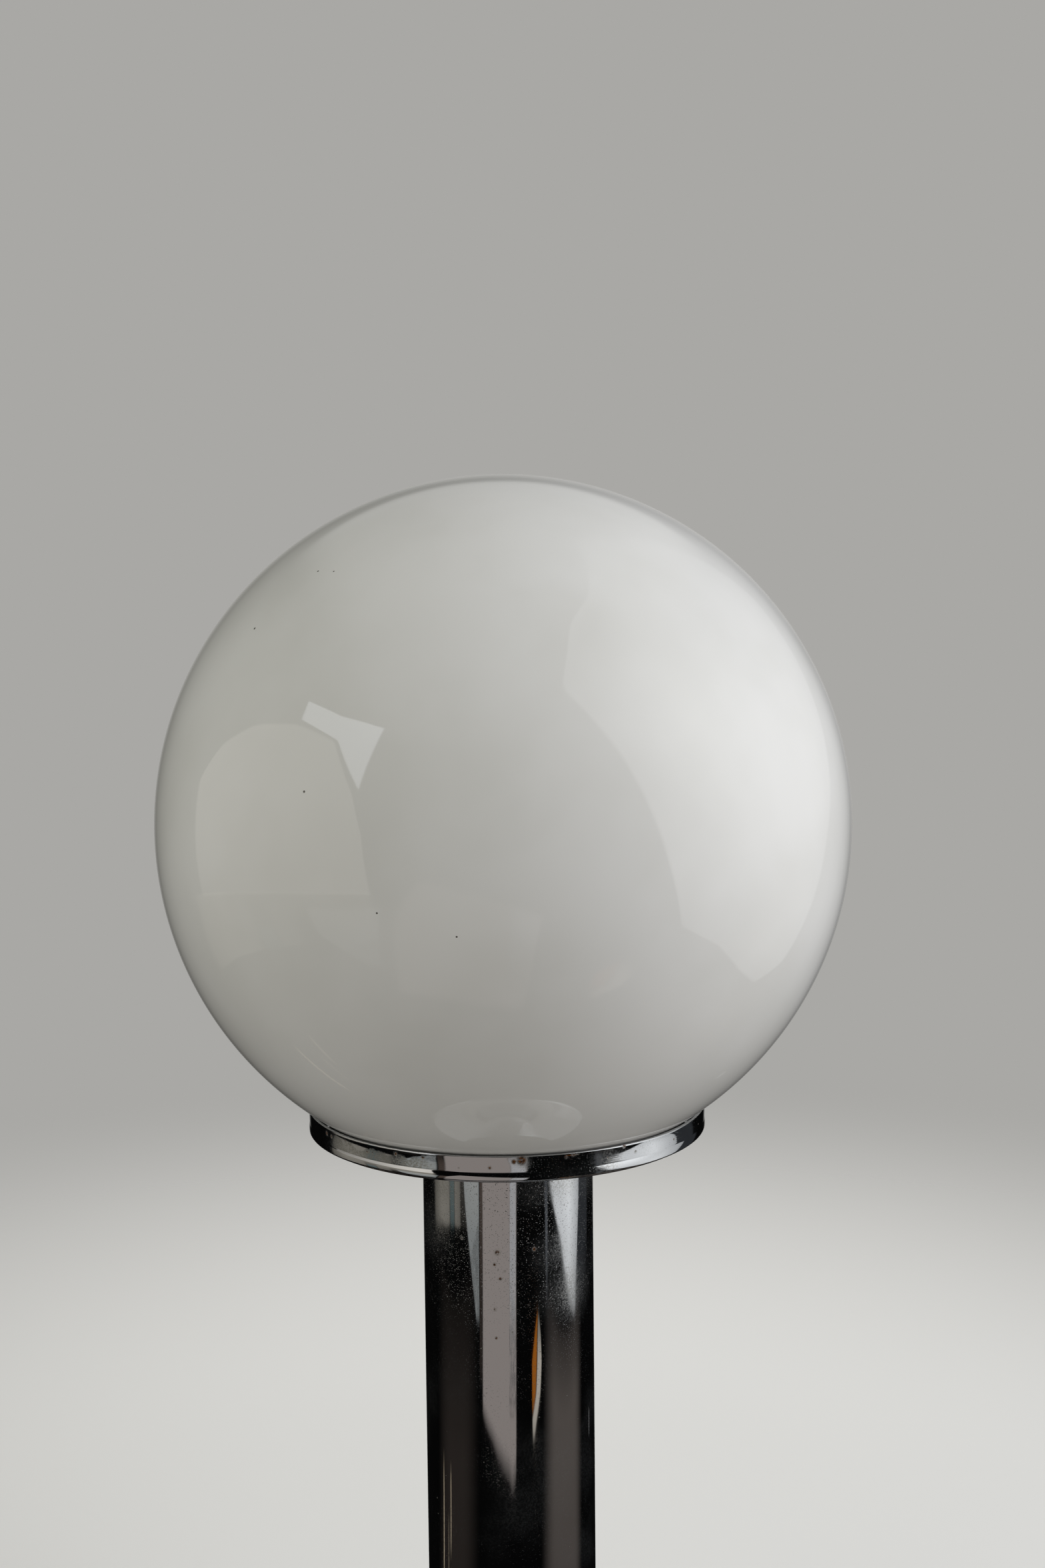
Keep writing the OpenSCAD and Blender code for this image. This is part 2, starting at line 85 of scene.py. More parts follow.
def add(tree, kind, inputs=None, **settings):
    """Adds a node: settings are its properties; each input is a number, a colour or a node's output."""
    made = tree.nodes.new(kind)
    for name, value in settings.items():
        setattr(made, name, value)
    for key, value in (inputs or {}).items():
        if isinstance(value, bpy.types.NodeSocket):
            tree.links.new(value, made.inputs[key])
        else:
            made.inputs[key].default_value = value
    return made


def over(tree, below, above, mask):
    """The value or hex colour `above` laid over `below` where the mask is 1."""
    if isinstance(above, str):
        below = linear(below) if isinstance(below, str) else below
        return add(tree, "ShaderNodeMix", {0: mask, 6: below, 7: linear(above)}, data_type="RGBA").outputs[2]
    return add(tree, "ShaderNodeMix", {0: mask, 2: below, 3: above}, data_type="FLOAT").outputs[0]


def times(tree, *factors):
    """Product of masks."""
    product = factors[0]
    for factor in factors[1:]:
        product = add(tree, "ShaderNodeMath", {0: product, 1: factor}, operation="MULTIPLY").outputs[0]
    return product


def ramp(tree, value, start, end):
    """Smooth step of a value: 0 at start, 1 at end, whichever is the larger."""
    low, high, first, last = (start, end, 0.0, 1.0) if start < end else (end, start, 1.0, 0.0)
    inputs = {"Value": value, "From Min": low, "From Max": high, "To Min": first, "To Max": last}
    return add(tree, "ShaderNodeMapRange", inputs, interpolation_type="SMOOTHSTEP").outputs[0]


def shifted(tree, where, seed, stretch=(1, 1, 1)):
    """Coordinates moved to another part of the noise, and stretched by a factor an axis."""
    place = {"Vector": where, "Location": (0.37 * seed, 0.61 * seed, 0.23 * seed), "Scale": stretch}
    return add(tree, "ShaderNodeMapping", place).outputs[0]


def clouds(tree, where, size, start, end, seed=0, detail=3.0, stretch=(1, 1, 1)):
    """Mask of soft clouds about `size` mm across: 0 where the noise is at start, 1 where it is at end."""
    inputs = {"Vector": shifted(tree, where, seed, stretch), "Scale": 1 / (size * MM), "Detail": detail}
    return ramp(tree, add(tree, "ShaderNodeTexNoise", inputs).outputs[0], start, end)


def specks(tree, where, spacing, size, share, seed=0):
    """Mask of specks up to `size` mm across in a share of the cells, which are `spacing` mm apart."""
    inputs = {"Vector": shifted(tree, where, seed), "Scale": 1 / (spacing * MM)}
    cells = add(tree, "ShaderNodeTexVoronoi", inputs)
    chance = add(tree, "ShaderNodeSeparateColor", {0: cells.outputs["Color"]})
    kept = add(tree, "ShaderNodeMath", {0: chance.outputs[0], 1: share}, operation="LESS_THAN").outputs[0]
    reach = times(tree, chance.outputs[1], size / 2 / spacing)
    inputs = {"Value": cells.outputs["Distance"], "From Min": times(tree, reach, 0.5), "From Max": reach}
    inputs.update({"To Min": 1.0, "To Max": 0.0})
    dots = add(tree, "ShaderNodeMapRange", inputs, interpolation_type="SMOOTHSTEP").outputs[0]
    return times(tree, dots, kept)


def mark(tree, where, centre, reach, blur=1.0):
    """Mask round a point in mm: 1 at the centre, 0 at the reach, falling over the outer share `blur`."""
    inputs = {0: where, 1: [c * MM for c in centre]}
    away = add(tree, "ShaderNodeVectorMath", inputs, operation="DISTANCE").outputs["Value"]
    return ramp(tree, away, reach * MM, reach * MM * (1 - blur))


def either(tree, *masks):
    """The largest of several masks."""
    most = masks[0]
    for mask in masks[1:]:
        most = add(tree, "ShaderNodeMath", {0: most, 1: mask}, operation="MAXIMUM").outputs[0]
    return most


def relief(tree, *layers):
    """Normal of a relief: a layer is a mask and the height in mm that it stands up, or sinks if negative."""
    normal = None
    for mask, height in layers:
        inputs = {"Height": mask, "Distance": abs(height) * MM}
        if normal is not None:
            inputs["Normal"] = normal
        normal = add(tree, "ShaderNodeBump", inputs, invert=height < 0).outputs[0]
    return normal


def start(name):
    """New material, its tree and its Object coordinates."""
    material = bpy.data.materials.new(name)
    material.use_nodes = True
    material.node_tree.nodes.clear()
    tree = material.node_tree
    return material, tree, add(tree, "ShaderNodeTexCoord").outputs["Object"]


def finish_with(tree, inputs):
    """Joins a Principled shader with these inputs to the material's output."""
    surface = add(tree, "ShaderNodeBsdfPrincipled", inputs)
    add(tree, "ShaderNodeOutputMaterial", {"Surface": surface.outputs[0]})


def round_point(azimuth, radius, height):
    """Point in mm on a round wall: azimuth 0 faces the front, 90 the right."""
    a = math.radians(azimuth)
    return (radius * math.sin(a), -radius * math.cos(a), height)


def on_wall(radius, *marks):
    """Marks on a round wall: their azimuth and level become a point, and their other numbers stay."""
    return [(round_point(azimuth, radius, level), *rest) for azimuth, level, *rest in marks]


# Mesh tools


def surface(name, grid, material, wrap_rows=False, wrap_turn=True, sharp=40):
    """Mesh of a grid of points (rows, columns, 3) in mm; equal points merge, so poles and seams close."""
    rows, columns = grid.shape[:2]
    index = np.arange(rows * columns).reshape(rows, columns)
    if wrap_rows:
        index = np.vstack([index, index[:1]])
    if wrap_turn:
        index = np.hstack([index, index[:, :1]])
    quads = np.stack([index[:-1, :-1], index[:-1, 1:], index[1:, 1:], index[1:, :-1]], axis=-1).reshape(-1, 4)
    mesh = bpy.data.meshes.new(name)
    mesh.from_pydata((grid.reshape(-1, 3) * MM).tolist(), [], quads.tolist())
    welded = bmesh.new()
    welded.from_mesh(mesh)
    bmesh.ops.remove_doubles(welded, verts=welded.verts, dist=1e-7)
    welded.to_mesh(mesh)
    welded.free()
    mesh.shade_smooth()
    mesh.set_sharp_from_angle(angle=math.radians(sharp))
    made = bpy.data.objects.new(name, mesh)
    bpy.context.scene.collection.objects.link(made)
    if material is not None:
        mesh.materials.append(material)
    return made


def arc(centre, radius, first, last, steps):
    """Points (r, z) on an arc about a centre, from the first angle to the last in degrees."""
    a = np.radians(np.linspace(first, last, steps + 1))
    return np.stack([centre[0] + radius * np.cos(a), centre[1] + radius * np.sin(a)], axis=-1)


def rounded(corners, steps=6, hold=0.12):
    """Closed outline through corners (r, z, fillet): a corner with a fillet is an arc touching both sides.

    A held point just beyond each end of the arc keeps the shading of the flat side flat.
    """
    outline = []
    for i, (r, z, fillet) in enumerate(corners):
        here = np.array([r, z], float)
        if fillet == 0:
            outline.append(here[None])
            continue
        back = np.array(corners[i - 1][:2]) - here
        ahead = np.array(corners[(i + 1) % len(corners)][:2]) - here
        back, ahead = back / np.linalg.norm(back), ahead / np.linalg.norm(ahead)
        half = math.acos(np.clip(back @ ahead, -1, 1)) / 2
        reach = fillet / math.tan(half)
        middle = (back + ahead) / np.linalg.norm(back + ahead)
        centre = here + middle * fillet / math.sin(half)
        from_, to = here + back * reach - centre, here + ahead * reach - centre
        first = math.atan2(from_[1], from_[0])
        turn = (math.atan2(to[1], to[0]) - first + math.pi) % TURN - math.pi
        a = first + turn * np.linspace(0, 1, steps + 1)
        bend = centre + fillet * np.stack([np.cos(a), np.sin(a)], axis=-1)
        before, after = here + back * reach * (1 + hold), here + ahead * reach * (1 + hold)
        outline += [before[None], bend, after[None]]
    return np.concatenate(outline)


def lathe(name, outline, material, turns=192, ripple=0.0, sharp=40):
    """Solid of revolution: the point (r, z) goes round to (R cos a, R sin a, z), where R is r + ripple.

    An outline whose two ends lie on the axis is a chain from pole to pole; any other is a closed loop.
    """
    r, z = np.asarray(outline, float).T
    area = (r * np.roll(z, -1) - np.roll(r, -1) * z).sum()
    if area < 0:
        r, z = r[::-1], z[::-1]
    a = np.linspace(0, TURN, turns, endpoint=False)
    radius = r[:, None] + np.broadcast_to(ripple, (len(r), turns))
    level = np.broadcast_to(z[:, None], radius.shape)
    grid = np.stack([radius * np.cos(a), radius * np.sin(a), level], axis=-1)
    chain = max(abs(r[0]), abs(r[-1])) < 1e-9
    return surface(name, grid, material, wrap_rows=not chain, sharp=sharp)


def around(outline, turns):
    """Angle, radius and level of each point of an outline turned in steps, as arrays that broadcast."""
    r, z = outline.T[..., None]
    return np.linspace(0, TURN, turns, endpoint=False)[None], r, z


def sweep(name, centres, radius, sides, material, aside=(0, 1, 0)):
    """Tube along points: each ring stands square to the path, its first side turned from `aside`."""
    along = np.gradient(centres, axis=0)
    along /= np.linalg.norm(along, axis=1)[:, None]
    first = np.cross(along, np.array(aside, float))
    first /= np.linalg.norm(first, axis=1)[:, None]
    second = np.cross(along, first)
    a = np.linspace(0, TURN, sides, endpoint=False)[None, :, None]
    rings = centres[:, None] + radius * (np.cos(a) * first[:, None] + np.sin(a) * second[:, None])
    ends = [np.repeat(c[None, None], sides, axis=1) for c in (centres[0], centres[-1])]
    return surface(name, np.concatenate([ends[0], rings, ends[1]]), material)


def joined(name, pieces):
    """One piece made of several meshes."""
    whole = bmesh.new()
    for piece in pieces:
        whole.from_mesh(piece.data)
    mesh = pieces[0].data
    whole.to_mesh(mesh)
    whole.free()
    for piece in pieces[1:]:
        bpy.data.objects.remove(piece)
    pieces[0].name = mesh.name = name
    return pieces[0]


def size(node):
    """Largest radius, lowest level and highest level of a round CAD node, in mm."""
    lo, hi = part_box(node)
    return max(-lo.x, hi.x, -lo.y, hi.y) / MM, lo.z / MM, hi.z / MM


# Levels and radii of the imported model, in mm

GLOBE_R, MOUTH_Z, GLOBE_TOP = size("globe")
GLOBE_Z = GLOBE_TOP - GLOBE_R
TUBE_R, TUBE_LOW, TUBE_HIGH = size("stem_tube")
BASE_R, HEM_Z, BASE_TOP = size("base_shell")
FELT_R, FLOOR_Z, FELT_TOP = size("felt_pad")
DISH_R, DISH_Z, LIP_TOP = size("gallery")
PLATE_R, PLATE_Z, PLATE_TOP = size("gallery_plate")
GASKET_R, GASKET_Z, GASKET_TOP = size("globe_gasket")
CAP_Z = size("holder_cap")[1]
BULB_Z = size("bulb_contact")[1]
BULB_R, BULB_NECK_Z, BULB_TOP = size("bulb_glass")
# Hole for the rod in the gallery, its plate and the base
ROD_HOLE_R = 5.25


# Materials


# Specks of dust on the globe: azimuth and height angle in degrees, and size in mm
GLOBE_DUST = [
    (-42.4, 45.4, 0.9), (-37.5, 45.2, 0.8), (-51.0, 34.5, 1.1),
    (-29.3, 9.8, 1.0), (-17.9, -6.6, 0.8), (-6.7, -9.7, 0.8),
]


def dust_point(azimuth, height):
    """Point in mm on the globe's outside."""
    h = math.radians(height)
    return round_point(azimuth, GLOBE_R * math.cos(h), GLOBE_Z + GLOBE_R * math.sin(h))


def opal_glass():
    """Cased opal glass, blown and fire-polished: milk white under a clear, glossy skin, with some dust."""
    material, tree, where = start("opal_glass")
    milk = clouds(tree, where, 60, 0.35, 0.7, seed=1)
    dust = [
        mark(tree, where, dust_point(azimuth, height), across / 2, 0.5)
        for azimuth, height, across in GLOBE_DUST
    ]
    colour = over(tree, over(tree, "#efedea", "#e8e6e2", milk), "#55504a", either(tree, *dust))
    # Faint cords left by blowing, about 40 mm apart, that bend the reflections a little
    cords = clouds(tree, where, 40, 0.2, 0.8, seed=2, detail=1.0, stretch=(1, 1, 0.45))
    finish_with(tree, {
        "Base Color": colour, "Roughness": 0.035, "IOR": 1.5, "Normal": relief(tree, (cords, 0.05)),
    })
    return material


# Depths of the chrome's relief in mm: waves left by polishing, pits and rust, rings of the spinning tool
WAVE_DEPTH = 0.010
PIT_DEPTH = 0.03
RING_DEPTH = 0.0015


def chrome(name, hazes=(), rusts=(), stain=None, worn=None, spun=None):
    """Chrome plate on polished steel: a dark mirror under a faint film, pitted where rust came through.

    Hazes are (place, reach, strength) and rusts (place, reach). With worn, the small pits crowd more and more
    from the lower to the upper of its two levels.
    """
    material, tree, where = start(name)
    grain = clouds(tree, where, 0.7, 0.40, 0.62, seed=3)
    film = times(tree, clouds(tree, where, 38, 0.50, 0.72, seed=4), 0.12)
    placed = [times(tree, mark(tree, where, centre, reach), strength) for centre, reach, strength in hazes]
    if stain is not None:
        placed.append(stain(tree, where))
    haze = times(tree, either(tree, film, *placed), over(tree, 0.35, 1.0, grain))
    # The pits' places are bent by up to 0.7 mm, so that none is round
    bend = add(tree, "ShaderNodeTexNoise", {"Vector": where, "Scale": 1 / (0.8 * MM)}).outputs["Color"]
    bent = {0: bend, 1: (0.7 * MM, 0.7 * MM, 0.7 * MM), 2: where}
    bent = add(tree, "ShaderNodeVectorMath", bent, operation="MULTIPLY_ADD").outputs[0]
    crowded = times(tree, clouds(tree, where, 26, 0.44, 0.66, seed=5), 0.3)
    if worn is not None:
        level = add(tree, "ShaderNodeSeparateXYZ", {0: where}).outputs[2]
        patchy = over(tree, 0.45, 1.0, clouds(tree, where, 9, 0.38, 0.60, seed=16))
        sparse = times(tree, crowded, 0.5)
        crowded = either(tree, sparse, times(tree, ramp(tree, level, worn[0] * MM, worn[1] * MM), patchy))
    pits = either(
        tree,
        specks(tree, bent, 3.4, 0.7, 0.2, seed=6),
        times(tree, clouds(tree, where, 0.42, 0.66, 0.74, seed=7, detail=1.0), crowded),
    )
    ragged = clouds(tree, where, 1.1, 0.36, 0.50, seed=8, detail=4.0)
    rust = either(
        tree,
        specks(tree, bent, 17, 1.4, 0.25, seed=9),
        *[times(tree, mark(tree, where, centre, reach, 0.6), ragged) for centre, reach in rusts],
    )
    halo = either(tree, *[mark(tree, where, centre, 1.7 * reach, 0.6) for centre, reach in rusts], 0.0)
    haze = either(tree, haze, times(tree, halo, 0.35))
    crust = over(tree, "#3a2112", "#7d4b1d", clouds(tree, where, 0.6, 0.45, 0.6, seed=15))
    colour = over(tree, over(tree, "#d2d4d6", "#aaa89f", haze), "#665f54", pits)
    colour = add(tree, "ShaderNodeMix", {0: rust, 6: colour, 7: crust}, data_type="RGBA").outputs[2]
    spoilt = either(tree, pits, rust)
    rough = over(tree, over(tree, 0.04, 0.36, haze), 0.6, spoilt)
    # Polishing leaves the sheet wavy over about 25 mm
    layers = [(clouds(tree, where, 25, 0.2, 0.8, seed=10, detail=1.0), WAVE_DEPTH), (spoilt, -PIT_DEPTH)]
    if spun is not None:
        layers.append((spun(tree, where), RING_DEPTH))
    metal = over(tree, over(tree, 1.0, 0.75, haze), 0.35, spoilt)
    finish_with(tree, {
        "Base Color": colour, "Metallic": metal, "Roughness": rough, "Normal": relief(tree, *layers),
    })
    return material


def spin_lines(low, high, spacing):
    """Pattern of level rings from a spinning tool between two levels, one each `spacing` mm."""
    def pattern(tree, where):
        level = add(tree, "ShaderNodeSeparateXYZ", {0: where}).outputs[2]
        inputs = {"Vector": where, "Scale": 1 / (spacing * MM) / TURN * 2, "Distortion": 1.5, "Detail": 2.0}
        rings = add(tree, "ShaderNodeTexWave", inputs, bands_direction="Z").outputs["Fac"]
        foot = ramp(tree, level, low * MM, (low + 0.3) * MM)
        top = ramp(tree, level, high * MM, (high - 0.8) * MM)
        return times(tree, rings, foot, top)
    return pattern


def scalloped_stain(centre, reach, foot, lowest, highest):
    """Pattern of a dull stain round a place, from a foot level up to an uneven edge between two levels."""
    def pattern(tree, where):
        level = add(tree, "ShaderNodeSeparateXYZ", {0: where}).outputs[2]
        uneven = clouds(tree, where, 5, 0.38, 0.62, seed=50, stretch=(1, 1, 0.1))
        edge = over(tree, lowest * MM, highest * MM, uneven)
        height = add(tree, "ShaderNodeMath", {0: level, 1: edge}, operation="SUBTRACT").outputs[0]
        below = ramp(tree, height, 0.3 * MM, -0.5 * MM)
        above = ramp(tree, level, foot * MM, (foot + 0.3) * MM)
        return times(tree, below, above, mark(tree, where, centre, reach, 0.25), 0.75)
    return pattern


def felt():
    """Green-black wool felt, pressed and cut: matt, with short fibres lying every way."""
    material, tree, where = start("felt")
    # Fibres are 0.03 mm thick; they are drawn as 0.5 mm tufts so that they show
    fibre = clouds(tree, where, 0.5, 0.3, 0.7, seed=11, detail=5.0)
    lint = specks(tree, where, 9, 0.8, 0.3, seed=12)
    colour = over(tree, over(tree, "#28302b", "#3c463e", fibre), "#8d8f86", lint)
    finish_with(tree, {
        "Base Color": colour, "Roughness": 0.95, "Sheen Weight": 0.35, "Sheen Roughness": 0.5,
        "Normal": relief(tree, (fibre, 0.25)),
    })
    return material


def moulded_rubber(name, code, worn_code, rough):
    """Moulded rubber, dulled with age: dark and nearly matt, paler where it was rubbed."""
    material, tree, where = start(name)
    worn = clouds(tree, where, 6, 0.45, 0.7, seed=13)
    grain = clouds(tree, where, 0.4, 0.3, 0.7, seed=14)
    finish_with(tree, {
        "Base Color": over(tree, code, worn_code, worn), "Roughness": over(tree, rough, rough + 0.15, worn),
        "Normal": relief(tree, (grain, 0.02)),
    })
    return material


def plated(name, code, dull_code, rough, dull_rough, seed):
    """Plain or plated metal as it left the lathe, tarnished in patches: satin, with fine turning marks."""
    material, tree, where = start(name)
    tarnish = clouds(tree, where, 9, 0.42, 0.66, seed=seed)
    # Turning marks are 0.1 mm apart; they are drawn 0.4 mm apart
    marks = clouds(tree, where, 0.4, 0.3, 0.7, seed=seed + 1, stretch=(0.15, 0.15, 1))
    finish_with(tree, {
        "Base Color": over(tree, code, dull_code, tarnish), "Metallic": 1.0,
        "Roughness": over(tree, rough, dull_rough, tarnish), "Normal": relief(tree, (marks, 0.006)),
    })
    return material


def casting(name, code, dull_code, metal, grit):
    """Sand or die casting left raw: a grey skin with the grain of the mould."""
    material, tree, where = start(name)
    skin = clouds(tree, where, 12, 0.4, 0.65, seed=20)
    grain = clouds(tree, where, grit, 0.3, 0.7, seed=21, detail=5.0)
    finish_with(tree, {
        "Base Color": over(tree, code, dull_code, skin), "Metallic": metal,
        "Roughness": over(tree, 0.5, 0.7, grain), "Normal": relief(tree, (grain, 0.12 * grit)),
    })
    return material


def phenolic():
    """Moulded phenolic resin: brown-black, glossy from the mould, with faint flow marks and a little dust."""
    material, tree, where = start("phenolic")
    flow = clouds(tree, where, 14, 0.4, 0.65, seed=22, stretch=(1, 1, 0.4))
    dust = clouds(tree, where, 3, 0.5, 0.75, seed=23, detail=5.0)
    finish_with(tree, {
        "Base Color": over(tree, over(tree, "#1a1614", "#241c17", flow), "#4a4541", times(tree, dust, 0.35)),
        "Roughness": over(tree, 0.22, 0.5, dust), "Normal": relief(tree, (flow, 0.02)),
    })
    return material


def porcelain():
    """Glazed electrical porcelain: cream white and glossy, with tiny dark iron specks."""
    material, tree, where = start("porcelain")
    iron = specks(tree, where, 2.5, 0.35, 0.4, seed=24)
    shade = clouds(tree, where, 10, 0.35, 0.7, seed=25)
    finish_with(tree, {
        "Base Color": over(tree, over(tree, "#ebe6d9", "#e0d9c8", shade), "#6b5a48", iron),
        "Roughness": 0.16, "Normal": relief(tree, (shade, 0.03)),
    })
    return material


def black_glass():
    """Fused black glass under a bulb's cap: jet black and glossy, with small ripples from the mould."""
    material, tree, where = start("black_glass")
    ripples = clouds(tree, where, 2, 0.3, 0.7, seed=26)
    finish_with(tree, {
        "Base Color": over(tree, "#0b0b0c", "#17171a", ripples), "Roughness": 0.08,
        "Normal": relief(tree, (ripples, 0.03)),
    })
    return material


def clear_glass():
    """Blown soda-lime glass: clear, with a mirror gloss and a faint waviness."""
    material, tree, where = start("clear_glass")
    waves = clouds(tree, where, 18, 0.25, 0.75, seed=27, detail=1.0)
    finish_with(tree, {
        "Base Color": over(tree, "#fbfdfc", "#f4f8f6", waves), "Roughness": 0.0, "IOR": 1.5,
        "Transmission Weight": 1.0, "Normal": relief(tree, (waves, 0.015)),
    })
    return material


# The globe rests by its own weight: a shell blown to a sphere, cracked off and ground flat at the mouth


def opal_globe():
    """Outer arc from mouth to pole and inner arc back, turned into a shell with a flat, bevelled mouth."""
    wall = 2.5
    bevel = 0.4
    mouth = MOUTH_Z - GLOBE_Z
    centre = (0, GLOBE_Z)
    outer_foot = math.degrees(math.asin((mouth + bevel) / GLOBE_R))
    inner_foot = math.degrees(math.asin((mouth + bevel) / (GLOBE_R - wall)))
    outer_mouth = math.sqrt(GLOBE_R**2 - mouth**2) - bevel
    inner_mouth = math.sqrt((GLOBE_R - wall) ** 2 - mouth**2) + bevel
    outline = np.concatenate([
        arc(centre, GLOBE_R - wall, 90, inner_foot, 90),
        [[inner_mouth, MOUTH_Z], [outer_mouth, MOUTH_Z]],
        arc(centre, GLOBE_R, outer_foot, 90, 120),
    ])
    outline[[0, -1], 0] = 0
    return lathe("opal_globe", outline, opal_glass(), turns=256)


# Gallery, plate, tube and base


def gallery_dish(material):
    """Flat floor, a full bead at its corner, a band that leans out, and a lip folded flat to the globe.

    The bead is a long arc that runs into a tight one at the angle `join`. From its foot, t = 0, to its top,
    t = 1, the band leans out by the slope 0.030 + 0.11 t^2.7, so that it flares just under the lip.
    """
    sheet = 0.8
    bead_r, corner_r, join = 9.0, 0.64, -4
    bead = (DISH_R - 0.12 - bead_r, DISH_Z + corner_r - (bead_r - corner_r) * math.sin(math.radians(join)))
    corner = (bead[0] + (bead_r - corner_r) * math.cos(math.radians(join)), DISH_Z + corner_r)
    foot_z, top_z = DISH_Z + 3.1, LIP_TOP - 0.32
    slope, flare, power = 0.030, 0.11, 2.7
    t = np.linspace(0.02, 1, 20)
    z = foot_z + (top_z - foot_z) * t
    band = DISH_R - (top_z - foot_z) * (slope * (1 - t) + flare * (1 - t ** (power + 1)) / (power + 1))
    lip_r = 0.26
    inner_r = DISH_R - 1.3
    outline = np.concatenate([
        [(ROD_HOLE_R, DISH_Z), (corner[0] - 1, DISH_Z), (corner[0] - 0.3, DISH_Z)],
        arc(corner, corner_r, -90, join, 12)[:-1],
        arc(bead, bead_r, join, 12, 12),
        np.stack([band, z], axis=-1),
        arc((DISH_R - lip_r, LIP_TOP - lip_r), lip_r, -8, 88, 8),
        [(DISH_R - lip_r - 0.1, LIP_TOP), (inner_r + 0.2, LIP_TOP - 0.06)],
        arc((inner_r + 0.14, LIP_TOP - 0.2), 0.14, 90, 180, 4),
        [(inner_r, LIP_TOP - 0.7), (inner_r, LIP_TOP - 1.2), (inner_r, DISH_Z + 3.4)],
        arc((inner_r - 2.3, DISH_Z + sheet + 2.3), 2.3, 0, -90, 8),
        [(inner_r - 2.7, DISH_Z + sheet), (ROD_HOLE_R, DISH_Z + sheet)],
    ])
    return lathe("gallery_dish", outline, material, turns=288)


def gallery_plate_disc(material):
    """Flat disc with its cut edge softened."""
    return lathe("gallery_backplate", rounded([
        (ROD_HOLE_R, PLATE_Z, 0), (PLATE_R, PLATE_Z, 0.36),
        (PLATE_R, PLATE_TOP, 0.36), (ROD_HOLE_R, PLATE_TOP, 0),
    ]), material, turns=256)


def stem(material):
    """Tube with both ends turned square and their edges broken."""
    bore = TUBE_R - 1.5
    return lathe("stem", rounded([
        (bore, TUBE_LOW, 0.3), (TUBE_R, TUBE_LOW, 0.3), (TUBE_R, TUBE_HIGH, 0.3), (bore, TUBE_HIGH, 0.3),
    ]), material, turns=192)


def lay_on_inlet(piece, before=0.0):
    """Lays a turned piece along the cord inlet, from `before` mm inside the bush's inner end outwards."""
    lo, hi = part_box("cord_grommet")
    place = Matrix.Translation((0, lo.y - before * MM, (lo.z + hi.z) / 2))
    piece.data.transform(place @ Matrix.Rotation(-math.pi / 2, 4, "X"))


def spun_base(material):
    """Flat top, round shoulder, upright wall and curled hem in 1.2 mm sheet, with a hole for the inlet."""
    sheet = 1.2
    hem_r = BASE_R - 7
    wall = np.linspace(HEM_Z + 4, BASE_TOP - 8, 8)
    outline = rounded([
        (hem_r, HEM_Z, 0.3), (BASE_R, HEM_Z, 3), (BASE_R, wall[0], 0), *[(BASE_R, z, 0) for z in wall[1:]],
        (BASE_R, BASE_TOP, 7), (ROD_HOLE_R, BASE_TOP, 0), (ROD_HOLE_R, BASE_TOP - sheet, 0),
        (BASE_R - sheet, BASE_TOP - sheet, 5.8), *[(BASE_R - sheet, z, 0) for z in wall[::-1]],
        (BASE_R - sheet, HEM_Z + sheet, 1.8), (hem_r, HEM_Z + sheet, 0.3),
    ], steps=12)
    shell = lathe("base_cover", outline, material, turns=288)
    hole_r = 4.6
    drill = lathe("drill", [(0, 0), (hole_r, 0), (hole_r, 30), (0, 30)], None, turns=64)
    lay_on_inlet(drill, 5)
    cut = shell.modifiers.new("inlet", "BOOLEAN")
    cut.object = drill
    cut.solver = "EXACT"
    holed = bpy.data.meshes.new_from_object(shell.evaluated_get(bpy.context.evaluated_depsgraph_get()))
    shell.modifiers.clear()
    shell.data = holed
    holed.name = "base_cover"
    bpy.data.objects.remove(drill)
    return shell


def felt_sole(material):
    """Disc cut from felt, its edges rounded by wear."""
    outline = rounded([
        (0, FLOOR_Z, 0), (FELT_R, FLOOR_Z, 0.5), (FELT_R, FELT_TOP, 0.4), (0, FELT_TOP, 0),
    ], steps=4)
    return lathe("felt_sole", outline, material)


def inlet_bush(material):
    """Flange, neck and inner flange of the cord inlet, turned about the cord's axis."""
    lo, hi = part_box("cord_grommet")
    flange_r = (hi.x - lo.x) / 2 / MM
    depth = (hi.y - lo.y) / MM
    bore, neck_r = 3.6, 4.55
    face = depth - 1.5
    bush = lathe("inlet_bush", rounded([
        (bore, 0, 0.2), (flange_r - 0.6, 0, 0.3), (flange_r - 0.6, 1.2, 0.2), (neck_r, 1.2, 0.1),
        (neck_r, face, 0.1), (flange_r, face, 0.3), (flange_r - 0.5, depth, 0.5), (bore, depth, 0.7),
    ], steps=4), material, turns=96)
    lay_on_inlet(bush)
    return bush


def rubber_ring(material):
    """Flat ring with softened edges, which the globe's mouth presses on."""
    inner = 55.1
    return lathe("rubber_ring", rounded([
        (inner, GASKET_Z, 0.3), (GASKET_R, GASKET_Z, 0.3),
        (GASKET_R, GASKET_TOP, 0.4), (inner, GASKET_TOP, 0.4),
    ], steps=4), material)


# Lampholder


def holder_dome(material):
    """Neck, dome and spigot of the lampholder's lower half, every edge rounded as it left the mould."""
    at = CAP_Z
    outline = rounded([
        (5.03, at, 0), (9, at, 0.8), (9, at + 7, 1.6), (17.8, at + 13.2, 3),
        (20.5, at + 16.2, 1.5), (20.5, at + 18, 0.2), (18.2, at + 18, 0), (18.2, at + 24, 0.3),
        (15.8, at + 24, 0.3), (15.8, at + 15, 2), (9, at + 9, 0), (5.03, at + 8, 0),
    ], steps=8)
    return lathe("holder_dome", outline, material, turns=128)


